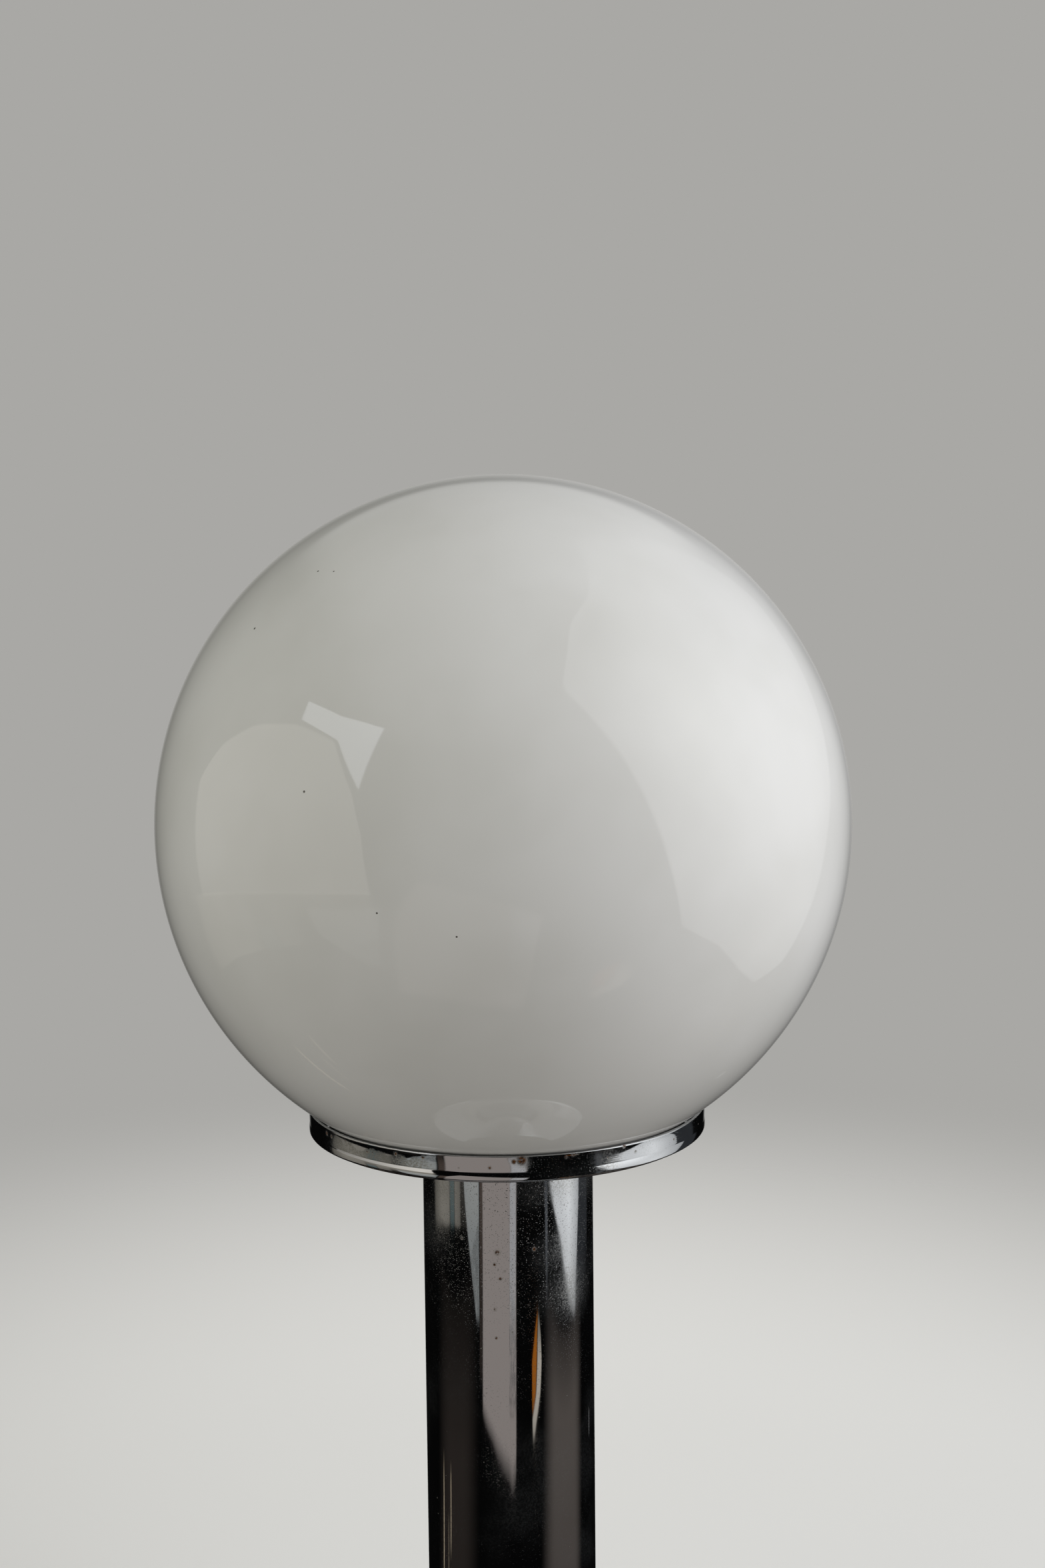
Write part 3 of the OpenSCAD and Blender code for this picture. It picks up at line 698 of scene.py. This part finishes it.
def holder_sleeve(material):
    """Skirt of the lampholder, with 36 shallow flutes for the fingers sunk into the middle of its wall.

    At the angle a the wall sinks by 0.35 mm times (half of 1 - cos 36 a)^0.7, which fades over 2 mm at both
    ends of the flutes.
    """
    at = CAP_Z
    depth, flutes = 0.35, 36
    levels = np.linspace(at + 23, at + 50, 28)
    outline = rounded([
        (18.35, at + 18, 0), (20.5, at + 18, 0.3), (20.5, at + 20, 0), *[(20.5, z, 0) for z in levels],
        (20.5, at + 57, 1.5), (15.2, at + 57, 0.4), (15.2, at + 55.2, 0.3), (18.35, at + 55.2, 0),
        (18.35, at + 30, 0), (16.8, at + 30, 0), (16.8, at + 28, 0), (18.35, at + 28, 0),
    ], steps=6)
    turns = flutes * 8
    a, r, z = around(outline, turns)
    along = np.clip(np.minimum(z - (at + 23), at + 50 - z) / 2, 0, 1) * (r > 20.4)
    ripple = -depth * np.sin(along * math.pi / 2) * (0.5 - 0.5 * np.cos(flutes * a)) ** 0.7
    return lathe("holder_sleeve", outline, material, turns=turns, ripple=ripple)


# Rounded thread of the bulb's cap and the sleeve round it: its pitch, and half its depth, in mm
THREAD_PITCH = 3.6
THREAD_RISE = 0.5


def thread(z, a, low, high, side):
    """Ridge of the rounded thread: it climbs one pitch a turn and runs out over half a pitch at each end."""
    fade = np.clip(np.minimum(z - low, high - z) / (THREAD_PITCH / 2), 0, 1)
    return THREAD_RISE * (fade * np.cos(TURN * z / THREAD_PITCH - a) + (1 - fade) * side)


def thread_shell(material):
    """Pressed brass sleeve with a rounded thread inside and out, on a flat foot."""
    low, high = CAP_Z + 30.8, CAP_Z + 53
    mean_r, outer_r = 12.95, 14.05
    wall_r, edge_r = outer_r - 0.35, outer_r - 0.1
    z = np.linspace(low, high, 72)
    outline = np.array([
        (9.5, CAP_Z + 30), (edge_r, CAP_Z + 30), (edge_r, low), *[(wall_r, v) for v in z[1:-1]],
        (edge_r, high), (mean_r + THREAD_RISE, high), *[(mean_r, v) for v in z[-2:0:-1]],
        (mean_r + THREAD_RISE, low + 0.2), (9.5, low + 0.2),
    ])
    turns = 96
    a, r, level = around(outline, turns)
    inside = (r == mean_r) * 1.0
    outside = (r == wall_r) * 0.6
    wave = thread(level - BULB_Z, a, low - BULB_Z, high - BULB_Z, 1)
    ripple = (inside + outside) * wave - 0.05 * (outside > 0)
    return lathe("thread_shell", outline, material, turns=turns, ripple=ripple)


# Bulb


def bulb_line(inset):
    """Outline of the bulb's glass, drawn in by inset: an arc about its middle over a neck.

    The neck's radius is a cubic in the share u of its height, with the given radius and slope at both ends.
    """
    middle = BULB_TOP - BULB_R
    from_angle = -40
    join_r = BULB_R * math.cos(math.radians(from_angle))
    join_z = middle + BULB_R * math.sin(math.radians(from_angle))
    neck_r, neck_slope, join_slope = 12.7, 0.03, -math.tan(math.radians(from_angle))
    u = np.linspace(0, 1, 25)[:-1]
    run = join_z - BULB_NECK_Z
    r = (neck_r * (2 * u**3 - 3 * u**2 + 1) + join_r * (3 * u**2 - 2 * u**3)
         + run * neck_slope * (u**3 - 2 * u**2 + u) + run * join_slope * (u**3 - u**2))
    neck = np.stack([r - inset, BULB_NECK_Z + run * u], axis=-1)
    dome = arc((0, middle), BULB_R - inset, from_angle, 90, 40)
    dome[-1, 0] = 0
    return np.concatenate([neck, dome])


def bulb_envelope(material):
    """Blown glass 0.8 mm thick, round above and drawn in to a neck below."""
    wall = 0.8
    return lathe("bulb_envelope", np.concatenate([bulb_line(wall)[::-1], bulb_line(0)]), material, turns=128)


def bulb_mount(material):
    """Glass flare that meets the neck, drawn in to the rod that holds the wires."""
    at = BULB_Z
    outline = rounded([
        (0, at + 36, 0), (2, at + 35, 0.6), (4, at + 31, 2), (9.8, at + 25.6, 2), (10.4, at + 23, 0),
        (11.8, at + 23, 0), (11.5, at + 26, 2), (5.7, at + 31, 3), (3.2, at + 37, 3),
        (3.2, at + 51.6, 0.6), (2.2, at + 52, 0.5), (0, at + 52, 0),
    ], steps=5)
    return lathe("bulb_mount", outline, material, turns=64)


def smooth_path(points, steps=16):
    """Points in mm along straight runs, with each corner rounded to a parabola over a third of a run."""
    points = np.array(points, float)
    path = [points[:1]]
    t = np.linspace(0, 1, steps)[:, None]
    for before, here, after in zip(points[:-2], points[1:-1], points[2:]):
        enter, leave = here + (before - here) / 3, here + (after - here) / 3
        path.append((1 - t) ** 2 * enter + 2 * t * (1 - t) * here + t**2 * leave)
    path.append(points[-1:])
    return np.concatenate(path)


def bulb_lead_wires(material):
    """Two lead wires that bend outwards from the glass rod to the filament's ends, and two finer supports."""
    at, radius = BULB_Z, 0.35
    wires = []
    for side in (-1, 1):
        lead = smooth_path([(side * 2.2, 0, at + 51.5), (side * 3.5, 0, at + 56), (side * 15, 0, at + 76.4)])
        prop = smooth_path([(0, side * 1.2, at + 51.5), (0, side * 6, at + 66), (0, side * 9, at + 73.6)])
        wires.append(sweep("lead", lead, radius, 12, material))
        wires.append(sweep("prop", prop, radius * 0.6, 10, material, aside=(1, 0, 0)))
    return joined("bulb_lead_wires", wires)


def coiled_filament(material):
    """Coiled tungsten wire in three straight runs: the wire's centre is a helix about each run."""
    at, coil_r, wire_r, lead = BULB_Z, 0.36, 0.09, 0.42
    ends = np.array([(-15, 0, at + 76), (0, -9, at + 74), (0, 9, at + 74), (15, 0, at + 76)], float)
    runs = []
    for first, last in zip(ends[:-1], ends[1:]):
        length = np.linalg.norm(last - first)
        along = (last - first) / length
        aside = np.cross(along, (0, 0, 1))
        aside /= np.linalg.norm(aside)
        above = np.cross(aside, along)
        t = np.linspace(0, 1, int(length / lead) * 12)[:, None]
        turn = TURN * t * int(length / lead)
        centre = first + (last - first) * t + coil_r * (np.cos(turn) * aside + np.sin(turn) * above)
        runs.append(sweep("run", centre, wire_r, 5, material, aside=along))
    return joined("coiled_filament", runs)


def bulb_screw_cap(material):
    """Rolled aluminium cap: a rounded thread, a sloped step and a plain collar that holds the glass."""
    at = BULB_Z
    low, high = at + 4.6, at + 19.4
    mean_r, bore = 12.6, 11.5
    z = np.linspace(low, high, 60)
    root_r = mean_r - THREAD_RISE
    outline = np.array([
        (bore, low), (root_r, low), *[(mean_r, v) for v in z[1:-1]], (root_r, high),
        (13.4, high + 1.6), (13.5, high + 2.0), (13.5, at + 26.2), (13.4, at + 26.5), (13.0, at + 26.5),
        (12.95, at + 21.4), (bore, high + 0.6),
    ])
    turns = 96
    a, r, level = around(outline, turns)
    ripple = (r == mean_r) * thread(level - at, a, low - at, high - at, -1)
    return lathe("bulb_screw_cap", outline, material, turns=turns, ripple=ripple)


# Finishes shared by several pieces

brass = plated("plain_brass", "#c4a057", "#8d6f3a", 0.28, 0.5, 30)
zinc = plated("zinc_steel", "#bfc1bd", "#a8a68f", 0.32, 0.5, 32)
nickel = plated("nickel_wire", "#b3aea4", "#8f8a80", 0.3, 0.45, 34)
tungsten = plated("tungsten", "#75757a", "#5d5d61", 0.4, 0.5, 36)
aluminium = plated("bulb_aluminium", "#cfd0d1", "#b8b9ba", 0.24, 0.4, 38)
tin = plated("solder", "#b9babb", "#8f9092", 0.3, 0.5, 40)
glass = clear_glass()
resin = phenolic()
iron = casting("cast_iron", "#38383a", "#2a2a2c", 0.0, 1.2)
zinc_casting = casting("cast_zinc", "#8b8c8e", "#77787a", 0.9, 0.8)

# Marks on the chrome: azimuth in degrees, level and reach in mm, and for a haze its strength
GALLERY_HAZES = on_wall(DISH_R, (4.5, DISH_Z + 6.6, 3.5, 0.5), (27, DISH_Z + 4.6, 9.0, 0.6))
GALLERY_RUSTS = on_wall(
    DISH_R, (3.6, 310.1, 2.1), (1.6, 309.6, 1.0), (17.3, 310.9, 0.8), (15.4, 310.1, 0.6), (-4.7, 307.6, 0.7),
    (-12.9, 307.2, 0.4), (-22.7, 309.8, 0.7), (-31.0, 309.7, 0.8), (-34.7, 309.0, 0.4), (-38.9, 308.4, 0.5),
    (-40.9, 308.3, 0.5), (-49.8, 309.7, 0.6), (-57.1, 309.2, 0.8), (-60.0, 309.5, 0.9), (27.3, 308.2, 0.5),
    (32.4, 311.0, 0.8), (36.4, 308.1, 0.6), (52.2, 308.1, 0.5))
TUBE_HAZES = on_wall(
    TUBE_R, (-52, 297, 9, 0.5), (-50, 285, 9, 0.4), (44, 247, 17, 0.45), (18, 287, 11, 0.35),
    (38, 290, 14, 0.5), (70, 288, 14, 0.45), (-62, 268, 16, 0.3), (30, 262, 12, 0.3))
TUBE_RUSTS = on_wall(
    TUBE_R, (-7.5, 264.0, 1.1), (-9.3, 259.7, 0.7), (-2.9, 257.3, 0.5), (-5.7, 254.5, 0.7),
    (-9.3, 243.3, 0.6), (-8.8, 232.8, 0.6), (2.0, 235.0, 0.4), (16.7, 264.7, 0.9), (-32.0, 268.0, 0.7))
# Levels in mm from which the tube's small pits begin to crowd, and at which they are thickest
TUBE_WORN = (215, 285)

chrome_gallery = chrome(
    "chrome_gallery", GALLERY_HAZES, GALLERY_RUSTS,
    scalloped_stain(round_point(-39, DISH_R, DISH_Z + 5), 26, DISH_Z + 3.0, DISH_Z + 5.4, DISH_Z + 7.2),
    spun=spin_lines(DISH_Z + 3.2, LIP_TOP - 2.5, 0.7))
chrome_tube = chrome("chrome_tube", TUBE_HAZES, TUBE_RUSTS, worn=TUBE_WORN)
chrome_base = chrome("chrome_base")


# Every new piece, with the CAD node that it stands for, its body and its material slot

PIECES = [
    (opal_globe(), "globe", "globe", "opal_glass"),
    (gallery_dish(chrome_gallery), "gallery", "stand", "chrome_gallery"),
    (gallery_plate_disc(chrome_gallery), "gallery_plate", "stand", "chrome_gallery"),
    (stem(chrome_tube), "stem_tube", "stand", "chrome_tube"),
    (spun_base(chrome_base), "base_shell", "stand", "chrome_base"),
    (felt_sole(felt()), "felt_pad", "stand", "felt"),
    (inlet_bush(moulded_rubber("black_rubber", "#171716", "#2a2927", 0.5)),
     "cord_grommet", "stand", "black_rubber"),
    (rubber_ring(moulded_rubber("gasket_rubber", "#4a3f35", "#5f5347", 0.6)),
     "globe_gasket", "stand", "gasket_rubber"),
    (holder_dome(resin), "holder_cap", "stand", "phenolic"),
    (holder_sleeve(resin), "holder_skirt", "stand", "phenolic"),
    (thread_shell(brass), "screw_shell", "stand", "plain_brass"),
    (bulb_envelope(glass), "bulb_glass", "bulb", "clear_glass"),
    (bulb_mount(glass), "bulb_stem", "bulb", "clear_glass"),
    (bulb_lead_wires(nickel), "bulb_wires", "bulb", "nickel_wire"),
    (coiled_filament(tungsten), "bulb_filament", "bulb", "tungsten"),
    (bulb_screw_cap(aluminium), "bulb_cap", "bulb", "bulb_aluminium"),
]
for piece, node, body, slot in PIECES:
    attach(piece, body)
    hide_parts(node)

# Pieces that keep their CAD shape and get a finish
KEPT = {
    "ballast": iron, "bottom_nut": brass, "bottom_washer": zinc, "tie_rod": zinc, "foot_plug": zinc_casting,
    "head_plug": zinc_casting, "gallery_washer": zinc, "top_nut": brass, "lock_screw": zinc,
    "holder_insert": porcelain(), "terminal_screws": brass, "centre_contact": brass, "bulb_contact": tin,
    "bulb_insulator": black_glass(),
}
for node, finish in KEPT.items():
    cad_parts[node].data.materials[0] = finish


# Studio: a pale floor that fades into a plain backdrop, soft lamps, and what the chrome mirrors

BACKDROP = "#a9a8a5"
FLOOR = "#cfcecb"
# Light that the floor gives off by itself, so that it stays pale under dim lamps
FLOOR_LIFT = 0.30
# Radii in mm between which the floor fades out
FLOOR_CLEAR = 450.0
FLOOR_RIM = 1250.0


def studio_floor():
    """Flat disc whose colour fades out between two radii, so that floor and backdrop meet without an edge."""
    material, tree, where = start("floor")
    away = add(tree, "ShaderNodeVectorMath", {0: where}, operation="LENGTH").outputs["Value"]
    fade = ramp(tree, away, FLOOR_CLEAR * MM, FLOOR_RIM * MM)
    matt = add(tree, "ShaderNodeBsdfDiffuse", {"Color": linear(FLOOR)}).outputs[0]
    paler = add(tree, "ShaderNodeEmission", {0: linear(FLOOR), 1: FLOOR_LIFT}).outputs[0]
    matt = add(tree, "ShaderNodeAddShader", {0: matt, 1: paler}).outputs[0]
    clear = add(tree, "ShaderNodeBsdfTransparent").outputs[0]
    mixed = add(tree, "ShaderNodeMixShader", {0: fade, 1: matt, 2: clear}).outputs[0]
    add(tree, "ShaderNodeOutputMaterial", {"Surface": mixed})
    radius = np.array([0, FLOOR_CLEAR, (FLOOR_CLEAR + FLOOR_RIM) / 2, FLOOR_RIM])[:, None]
    a = np.linspace(0, TURN, 96, endpoint=False)[None]
    grid = np.stack([radius * np.cos(a), radius * np.sin(a), 0 * radius * a], axis=-1)
    floor = surface("floor", grid[::-1], material)
    floor.visible_glossy = False
    floor.visible_diffuse = False


# Even light on the object, by its strength below and above, and the room that the chrome mirrors
AMBIENT = "#f5f3ed"
AMBIENT_BELOW = 0.37
AMBIENT_ABOVE = 0.115
ROOM_DARK = "#070707"
ROOM_HIGH = "#5c5b59"
# Parts of a direction, upwards or to the rear, between which one light turns into the next
AMBIENT_TURN = (-0.5, 0.8)
HIGH_TURN = (0.02, 0.35)
FRONT_TURN = (0.0, -0.4)
REAR_TURN = (0.90, 0.985)


def backdrop():
    """World: plain to the camera and through glass, a dim room to the chrome, an even light to the rest."""
    world = bpy.data.worlds.new("studio")
    world.use_nodes = True
    tree = world.node_tree
    tree.nodes.clear()
    rays = add(tree, "ShaderNodeLightPath")
    towards = add(tree, "ShaderNodeSeparateXYZ", {0: add(tree, "ShaderNodeTexCoord").outputs["Generated"]})
    level = over(tree, AMBIENT_BELOW, AMBIENT_ABOVE, ramp(tree, towards.outputs[2], *AMBIENT_TURN))
    shown = either(tree, rays.outputs["Is Camera Ray"], rays.outputs["Is Transmission Ray"])
    light = add(tree, "ShaderNodeBackground", {0: linear(AMBIENT), 1: level}).outputs[0]
    plain = add(tree, "ShaderNodeBackground", {0: linear(BACKDROP), 1: 1.0}).outputs[0]
    high = ramp(tree, towards.outputs[2], *HIGH_TURN)
    front = times(tree, high, ramp(tree, towards.outputs[1], *FRONT_TURN))
    room = over(tree, ROOM_DARK, ROOM_HIGH, front)
    room = over(tree, room, BACKDROP, ramp(tree, towards.outputs[1], *REAR_TURN))
    mirrored = add(tree, "ShaderNodeBackground", {0: room, 1: 1.0}).outputs[0]
    glossy = rays.outputs["Is Glossy Ray"]
    first = add(tree, "ShaderNodeMixShader", {0: glossy, 1: light, 2: mirrored}).outputs[0]
    both = add(tree, "ShaderNodeMixShader", {0: shown, 1: first, 2: plain}).outputs[0]
    add(tree, "ShaderNodeOutputWorld", {"Surface": both})
    bpy.context.scene.world = world


# Side of the soft boxes in m
BOX_SIDE = 0.9


def lamp(name, azimuth, height, distance, power, code):
    """Soft box aimed at the globe's middle from an azimuth and a height angle; chrome doesn't mirror it."""
    data = bpy.data.lights.new(name, "AREA")
    data.shape = "RECTANGLE"
    data.size = data.size_y = BOX_SIDE
    data.energy = power
    data.color = linear(code)[:3]
    box = bpy.data.objects.new(name, data)
    h = math.radians(height)
    x, y, z = round_point(azimuth, distance * math.cos(h), distance * math.sin(h))
    turned = Matrix.Rotation(math.radians(azimuth), 4, "Z") @ Matrix.Rotation(math.pi / 2 - h, 4, "X")
    box.matrix_world = Matrix.Translation((x, y, z + GLOBE_Z * MM)) @ turned
    box.visible_glossy = False
    box.visible_camera = False
    bpy.context.scene.collection.objects.link(box)


# Points along each side of a card's mesh
CARD_POINTS = 48


def card(name, code, soft, net):
    """Sheet that only mirrors show, stretched over the points of a net, between which all runs straight.

    Each row of the net has azimuths, radius, height and glow, in degrees and metres, where one number holds
    for the whole row. The glow fades out over the soft shares at the edges: along the rows, then across them.
    """
    rows = [np.stack(np.broadcast_arrays(*row), axis=-1) for row in net]
    net = np.array([[(*round_point(*point[:3]), point[3]) for point in row] for row in rows])
    for axis in (0, 1):
        count = net.shape[axis]
        at = np.linspace(0, count - 1, CARD_POINTS)
        low = np.minimum(at.astype(int), count - 2)
        share = (at - low).reshape((-1, 1, 1) if axis == 0 else (1, -1, 1))
        net = np.take(net, low, axis) * (1 - share) + np.take(net, low + 1, axis) * share
    edge = np.minimum(np.linspace(0, 1, CARD_POINTS), np.linspace(1, 0, CARD_POINTS))
    fade = [np.clip(edge / share, 0, 1) for share in soft]
    fade = [f**2 * (3 - 2 * f) for f in fade]
    glow = net[..., 3] * fade[0][None, :] * fade[1][:, None]
    material = bpy.data.materials.new(name)
    material.use_nodes = True
    material.cycles.emission_sampling = "NONE"
    tree = material.node_tree
    tree.nodes.clear()
    strength = add(tree, "ShaderNodeAttribute", attribute_name="glow").outputs["Fac"]
    light = add(tree, "ShaderNodeEmission", {0: linear(code), 1: strength}).outputs[0]
    clear = add(tree, "ShaderNodeBsdfTransparent").outputs[0]
    both = add(tree, "ShaderNodeAddShader", {0: light, 1: clear}).outputs[0]
    add(tree, "ShaderNodeOutputMaterial", {"Surface": both})
    panel = surface(name, net[..., :3] / MM, material, wrap_turn=False)
    spread = panel.data.attributes.new("glow", "FLOAT", "POINT").data
    spread.foreach_set("value", glow.ravel().astype(np.float32))
    for kind in ("camera", "diffuse", "transmission", "volume_scatter", "shadow"):
        setattr(panel, "visible_" + kind, False)


studio_floor()
backdrop()
lamp("key", 73, 23, 1.0, 9.2, "#f8fbff")
lamp("fill", -60, 30, 1.0, 3.4, "#fcfff7")
lamp("rear", 178, 22, 1.3, 9.0, "#ffffff")

# Height in m of the cards that lie on the floor
GROUND = 0.001
# Azimuths at which the left wall's glow changes
WALL = (-99, -85, -83.4, -75.6, -74.8, -67.2, -65.4, -60, -50, -38)
CARDS = [
    ("front_sheet", "#fff0e8", (0.015, 0.04), [
        ((-37.1, -24, -12, -3, 1.5, 6.2), (0.47, 0.43, 0.40, 0.385, 0.37, 0.385), GROUND, 0.30),
        ((-35.4, -23, -11, -2, 3.3, 9.3), 0.69, GROUND, 0.30),
        ((-34.2, -22, -10.5, -1, 5, 11.4), (1.10, 1.08, 1.06, 1.03, 1.01, 1.0), GROUND, 0.30),
        ((-26, -18.5, -9.5, -0.5, 5.5, 11.8), (2.13, 1.85, 1.56, 1.33, 1.19, 1.08), GROUND, 0.30),
    ]),
    ("front_edge", "#ecf6ff", (0.12, 0.02), [
        ((-1.9, 7.2), 0.47, GROUND, 0.0),
        ((-0.6, 8.2), 0.58, GROUND, 0.06),
        ((0, 9.3), 0.70, GROUND, 0.23),
        ((1.5, 10.6), 0.91, GROUND, 0.26),
        ((2, 11.8), (1.2, 1.08), GROUND, 0.26),
    ]),
    ("front_line", "#ffe1ce", (0.15, 0.1), [
        ((-40.6, -36.6), 0.50, GROUND, 0.02),
        ((-39.6, -35.7), 0.66, GROUND, 0.03),
        ((-38.1, -33.6), 0.91, GROUND, 0.07),
        ((-37, -32.6), 1.3, GROUND, 0.07),
    ]),
    ("side_wedge", "#f6faf8", (0.05, 0.08), [
        ((-43, -39.8), 0.61, GROUND, 0.26),
        ((-50.9, -39.4), 0.72, GROUND, 0.28),
        ((-60.5, -38.4), 0.90, GROUND, 0.28),
        ((-64, -37), 1.3, GROUND, 0.27),
    ]),
    ("side_glow", "#ffe6d6", (0.4, 0.12), [
        ((-120, -44), 0.15, GROUND, 0.018),
        ((-114, -40), 0.50, GROUND, 0.024),
        ((-110, -38), 0.85, GROUND, 0.004),
    ]),
    ("side_line", "#ffe9c8", (0.4, 0.3), [
        ((-103.9, -102.1), 0.22, GROUND, 0.6), ((-101.8, -100), 0.41, GROUND, 0.6),
    ]),
    ("side_line_2", "#ffe9c8", (0.4, 0.3), [
        ((-88.9, -87.1), 0.28, GROUND, 0.45), ((-87.7, -85.9), 0.40, GROUND, 0.45),
    ]),
    ("side_line_3", "#ffe9c8", (0.4, 0.3), [
        ((-93.3, -92.2), 0.23, GROUND, 0.3), ((-92.3, -91.2), 0.34, GROUND, 0.3),
    ]),
    ("left_wall", "#fff6e6", (0.02, 0.02), [
        ((-116, *WALL), 0.81, 0.0, (0.08, 0.24, 0.22, 0.04, 0.04, 0.20, 0.15, 0.02, 0.02, 0.02, 0.02)),
        ((-116, *WALL), 0.82, 0.05, (0.10, 0.25, 0.22, 0.08, 0.08, 0.20, 0.16, 0.05, 0.05, 0.10, 0.10)),
        ((-113, *WALL), 0.88, 0.20, (0.12, 0.32, 0.28, 0.28, 0.30, 0.30, 0.36, 0.38, 0.42, 0.45, 0.40)),
    ]),
    ("left_door", "#a8dbe2", (0.05, 0.1), [
        ((-83.2, -75.8), 0.80, 0.0, 0.10), ((-83.2, -75.8), 0.80, 0.10, 0.10),
    ]),
    ("left_arch", "#fff8ee", (0.01, 0.01), [
        ((-108, -100, -88, -71, -55, -45, -39), 0.9, 0.18, (0.22, 0.30, 0.40, 0.55, 0.75, 0.80, 0.70)),
        ((-108, -100, -88, -71, -55, -45, -41), 0.9, (0.51, 0.66, 0.79, 0.87, 0.84, 0.61, 0.43),
         (0.50, 0.60, 0.72, 0.80, 0.85, 0.85, 0.80)),
    ]),
    ("left_window", "#f4f8ff", (0.02, 0.02), [
        ((-71, -54, -43), 0.9, (0.89, 0.84, 0.62), (2.4, 2.6, 2.6)),
        ((-72, -56, -39), 0.9, (0.99, 0.97, 0.95), (2.4, 2.6, 2.8)),
    ]),
    ("right_panel", "#fbfcfd", (0.01, 0.012), [
        ((56, 72, 86, 97), (0.93, 0.77, 0.64, 0.61), 0.0, (0.70, 0.75, 0.70, 0.50)),
        ((54, 72, 88, 108), (0.93, 0.77, 0.66, 0.64), 0.08, (1.05, 0.85, 1.0, 0.45)),
        ((47, 73, 97, 116), (0.88, 0.72, 0.63, 0.68), (0.33, 0.34, 0.34, 0.34), (1.45, 1.25, 0.60, 0.25)),
        ((36.7, 64, 100, 141), (0.80, 0.60, 0.52, 0.77), (0.70, 0.74, 0.75, 0.79), (1.0, 2.4, 0.35, 0.15)),
        ((22.2, 50, 90, 137), (0.80, 0.50, 0.36, 0.40), (1.17, 1.25, 1.33, 1.42), (0.8, 0.50, 0.40, 0.10)),
        ((43, 75, 105, 140), (0.80, 0.70, 0.68, 0.80), (2.06, 2.20, 2.30, 2.30), (0.8, 0.50, 0.35, 0.20)),
    ]),
    ("right_dim", "#dfe6f2", (0.15, 0.15), [
        ((98, 132), (0.62, 0.70), 0.0, 0.035), ((100, 132), (0.62, 0.70), 0.35, 0.035),
    ]),
    ("ceiling", "#f8f8f6", (0.2, 0.2), [
        ((-65, 65), 1.7, 2.0, 0.40), ((-153, 153), 3.4, 2.0, 0.40),
    ]),
    ("right_glow", "#ffede1", (0.3, 0.1), [
        ((35, 106), 0.15, GROUND, 0.05),
        ((36, 106), 0.28, GROUND, 0.075),
        ((43, 112), 0.55, GROUND, 0.10),
        ((46, 112), 0.74, GROUND, 0.01),
    ]),
    ("right_line", "#e6ecf6", (0.3, 0.05), [
        ((49.2, 51.4), 0.64, GROUND, 0.02),
        ((48.6, 53), 0.77, GROUND, 0.11),
        ((48.1, 54), 0.92, GROUND, 0.09),
        ((47.5, 54), 1.2, GROUND, 0.0),
    ]),
    ("right_tick", "#ffffff", (0.3, 0.2), [
        ((130.2, 131.2), 0.405, GROUND, 0.4), ((131.1, 132.1), 0.445, GROUND, 0.4),
    ]),
    ("warm_strip", "#d07a24", (0.15, 0.1), [
        ((27.9, 29), 0.47, GROUND, 0.2),
        ((28, 33.4), 0.50, GROUND, 0.5),
        ((28.3, 35.5), 0.55, GROUND, 0.55),
        ((33.2, 36.5), 0.60, GROUND, 0.5),
        ((37.2, 37.8), 0.64, GROUND, 0.4),
    ]),
    ("pale_strip", "#fff4e4", (0.15, 0.1), [
        ((28.6, 29.4), 0.43, GROUND, 0.3),
        ((27.9, 34.8), 0.465, GROUND, 0.45),
        ((33.4, 39.8), 0.50, GROUND, 0.5),
        ((35.5, 42.2), 0.55, GROUND, 0.5),
        ((36.5, 41.4), 0.59, GROUND, 0.3),
        ((37.9, 38.4), 0.64, GROUND, 0.1),
    ]),
]
for settings in CARDS:
    card(*settings)
bpy.context.scene.view_settings.view_transform = "Standard"
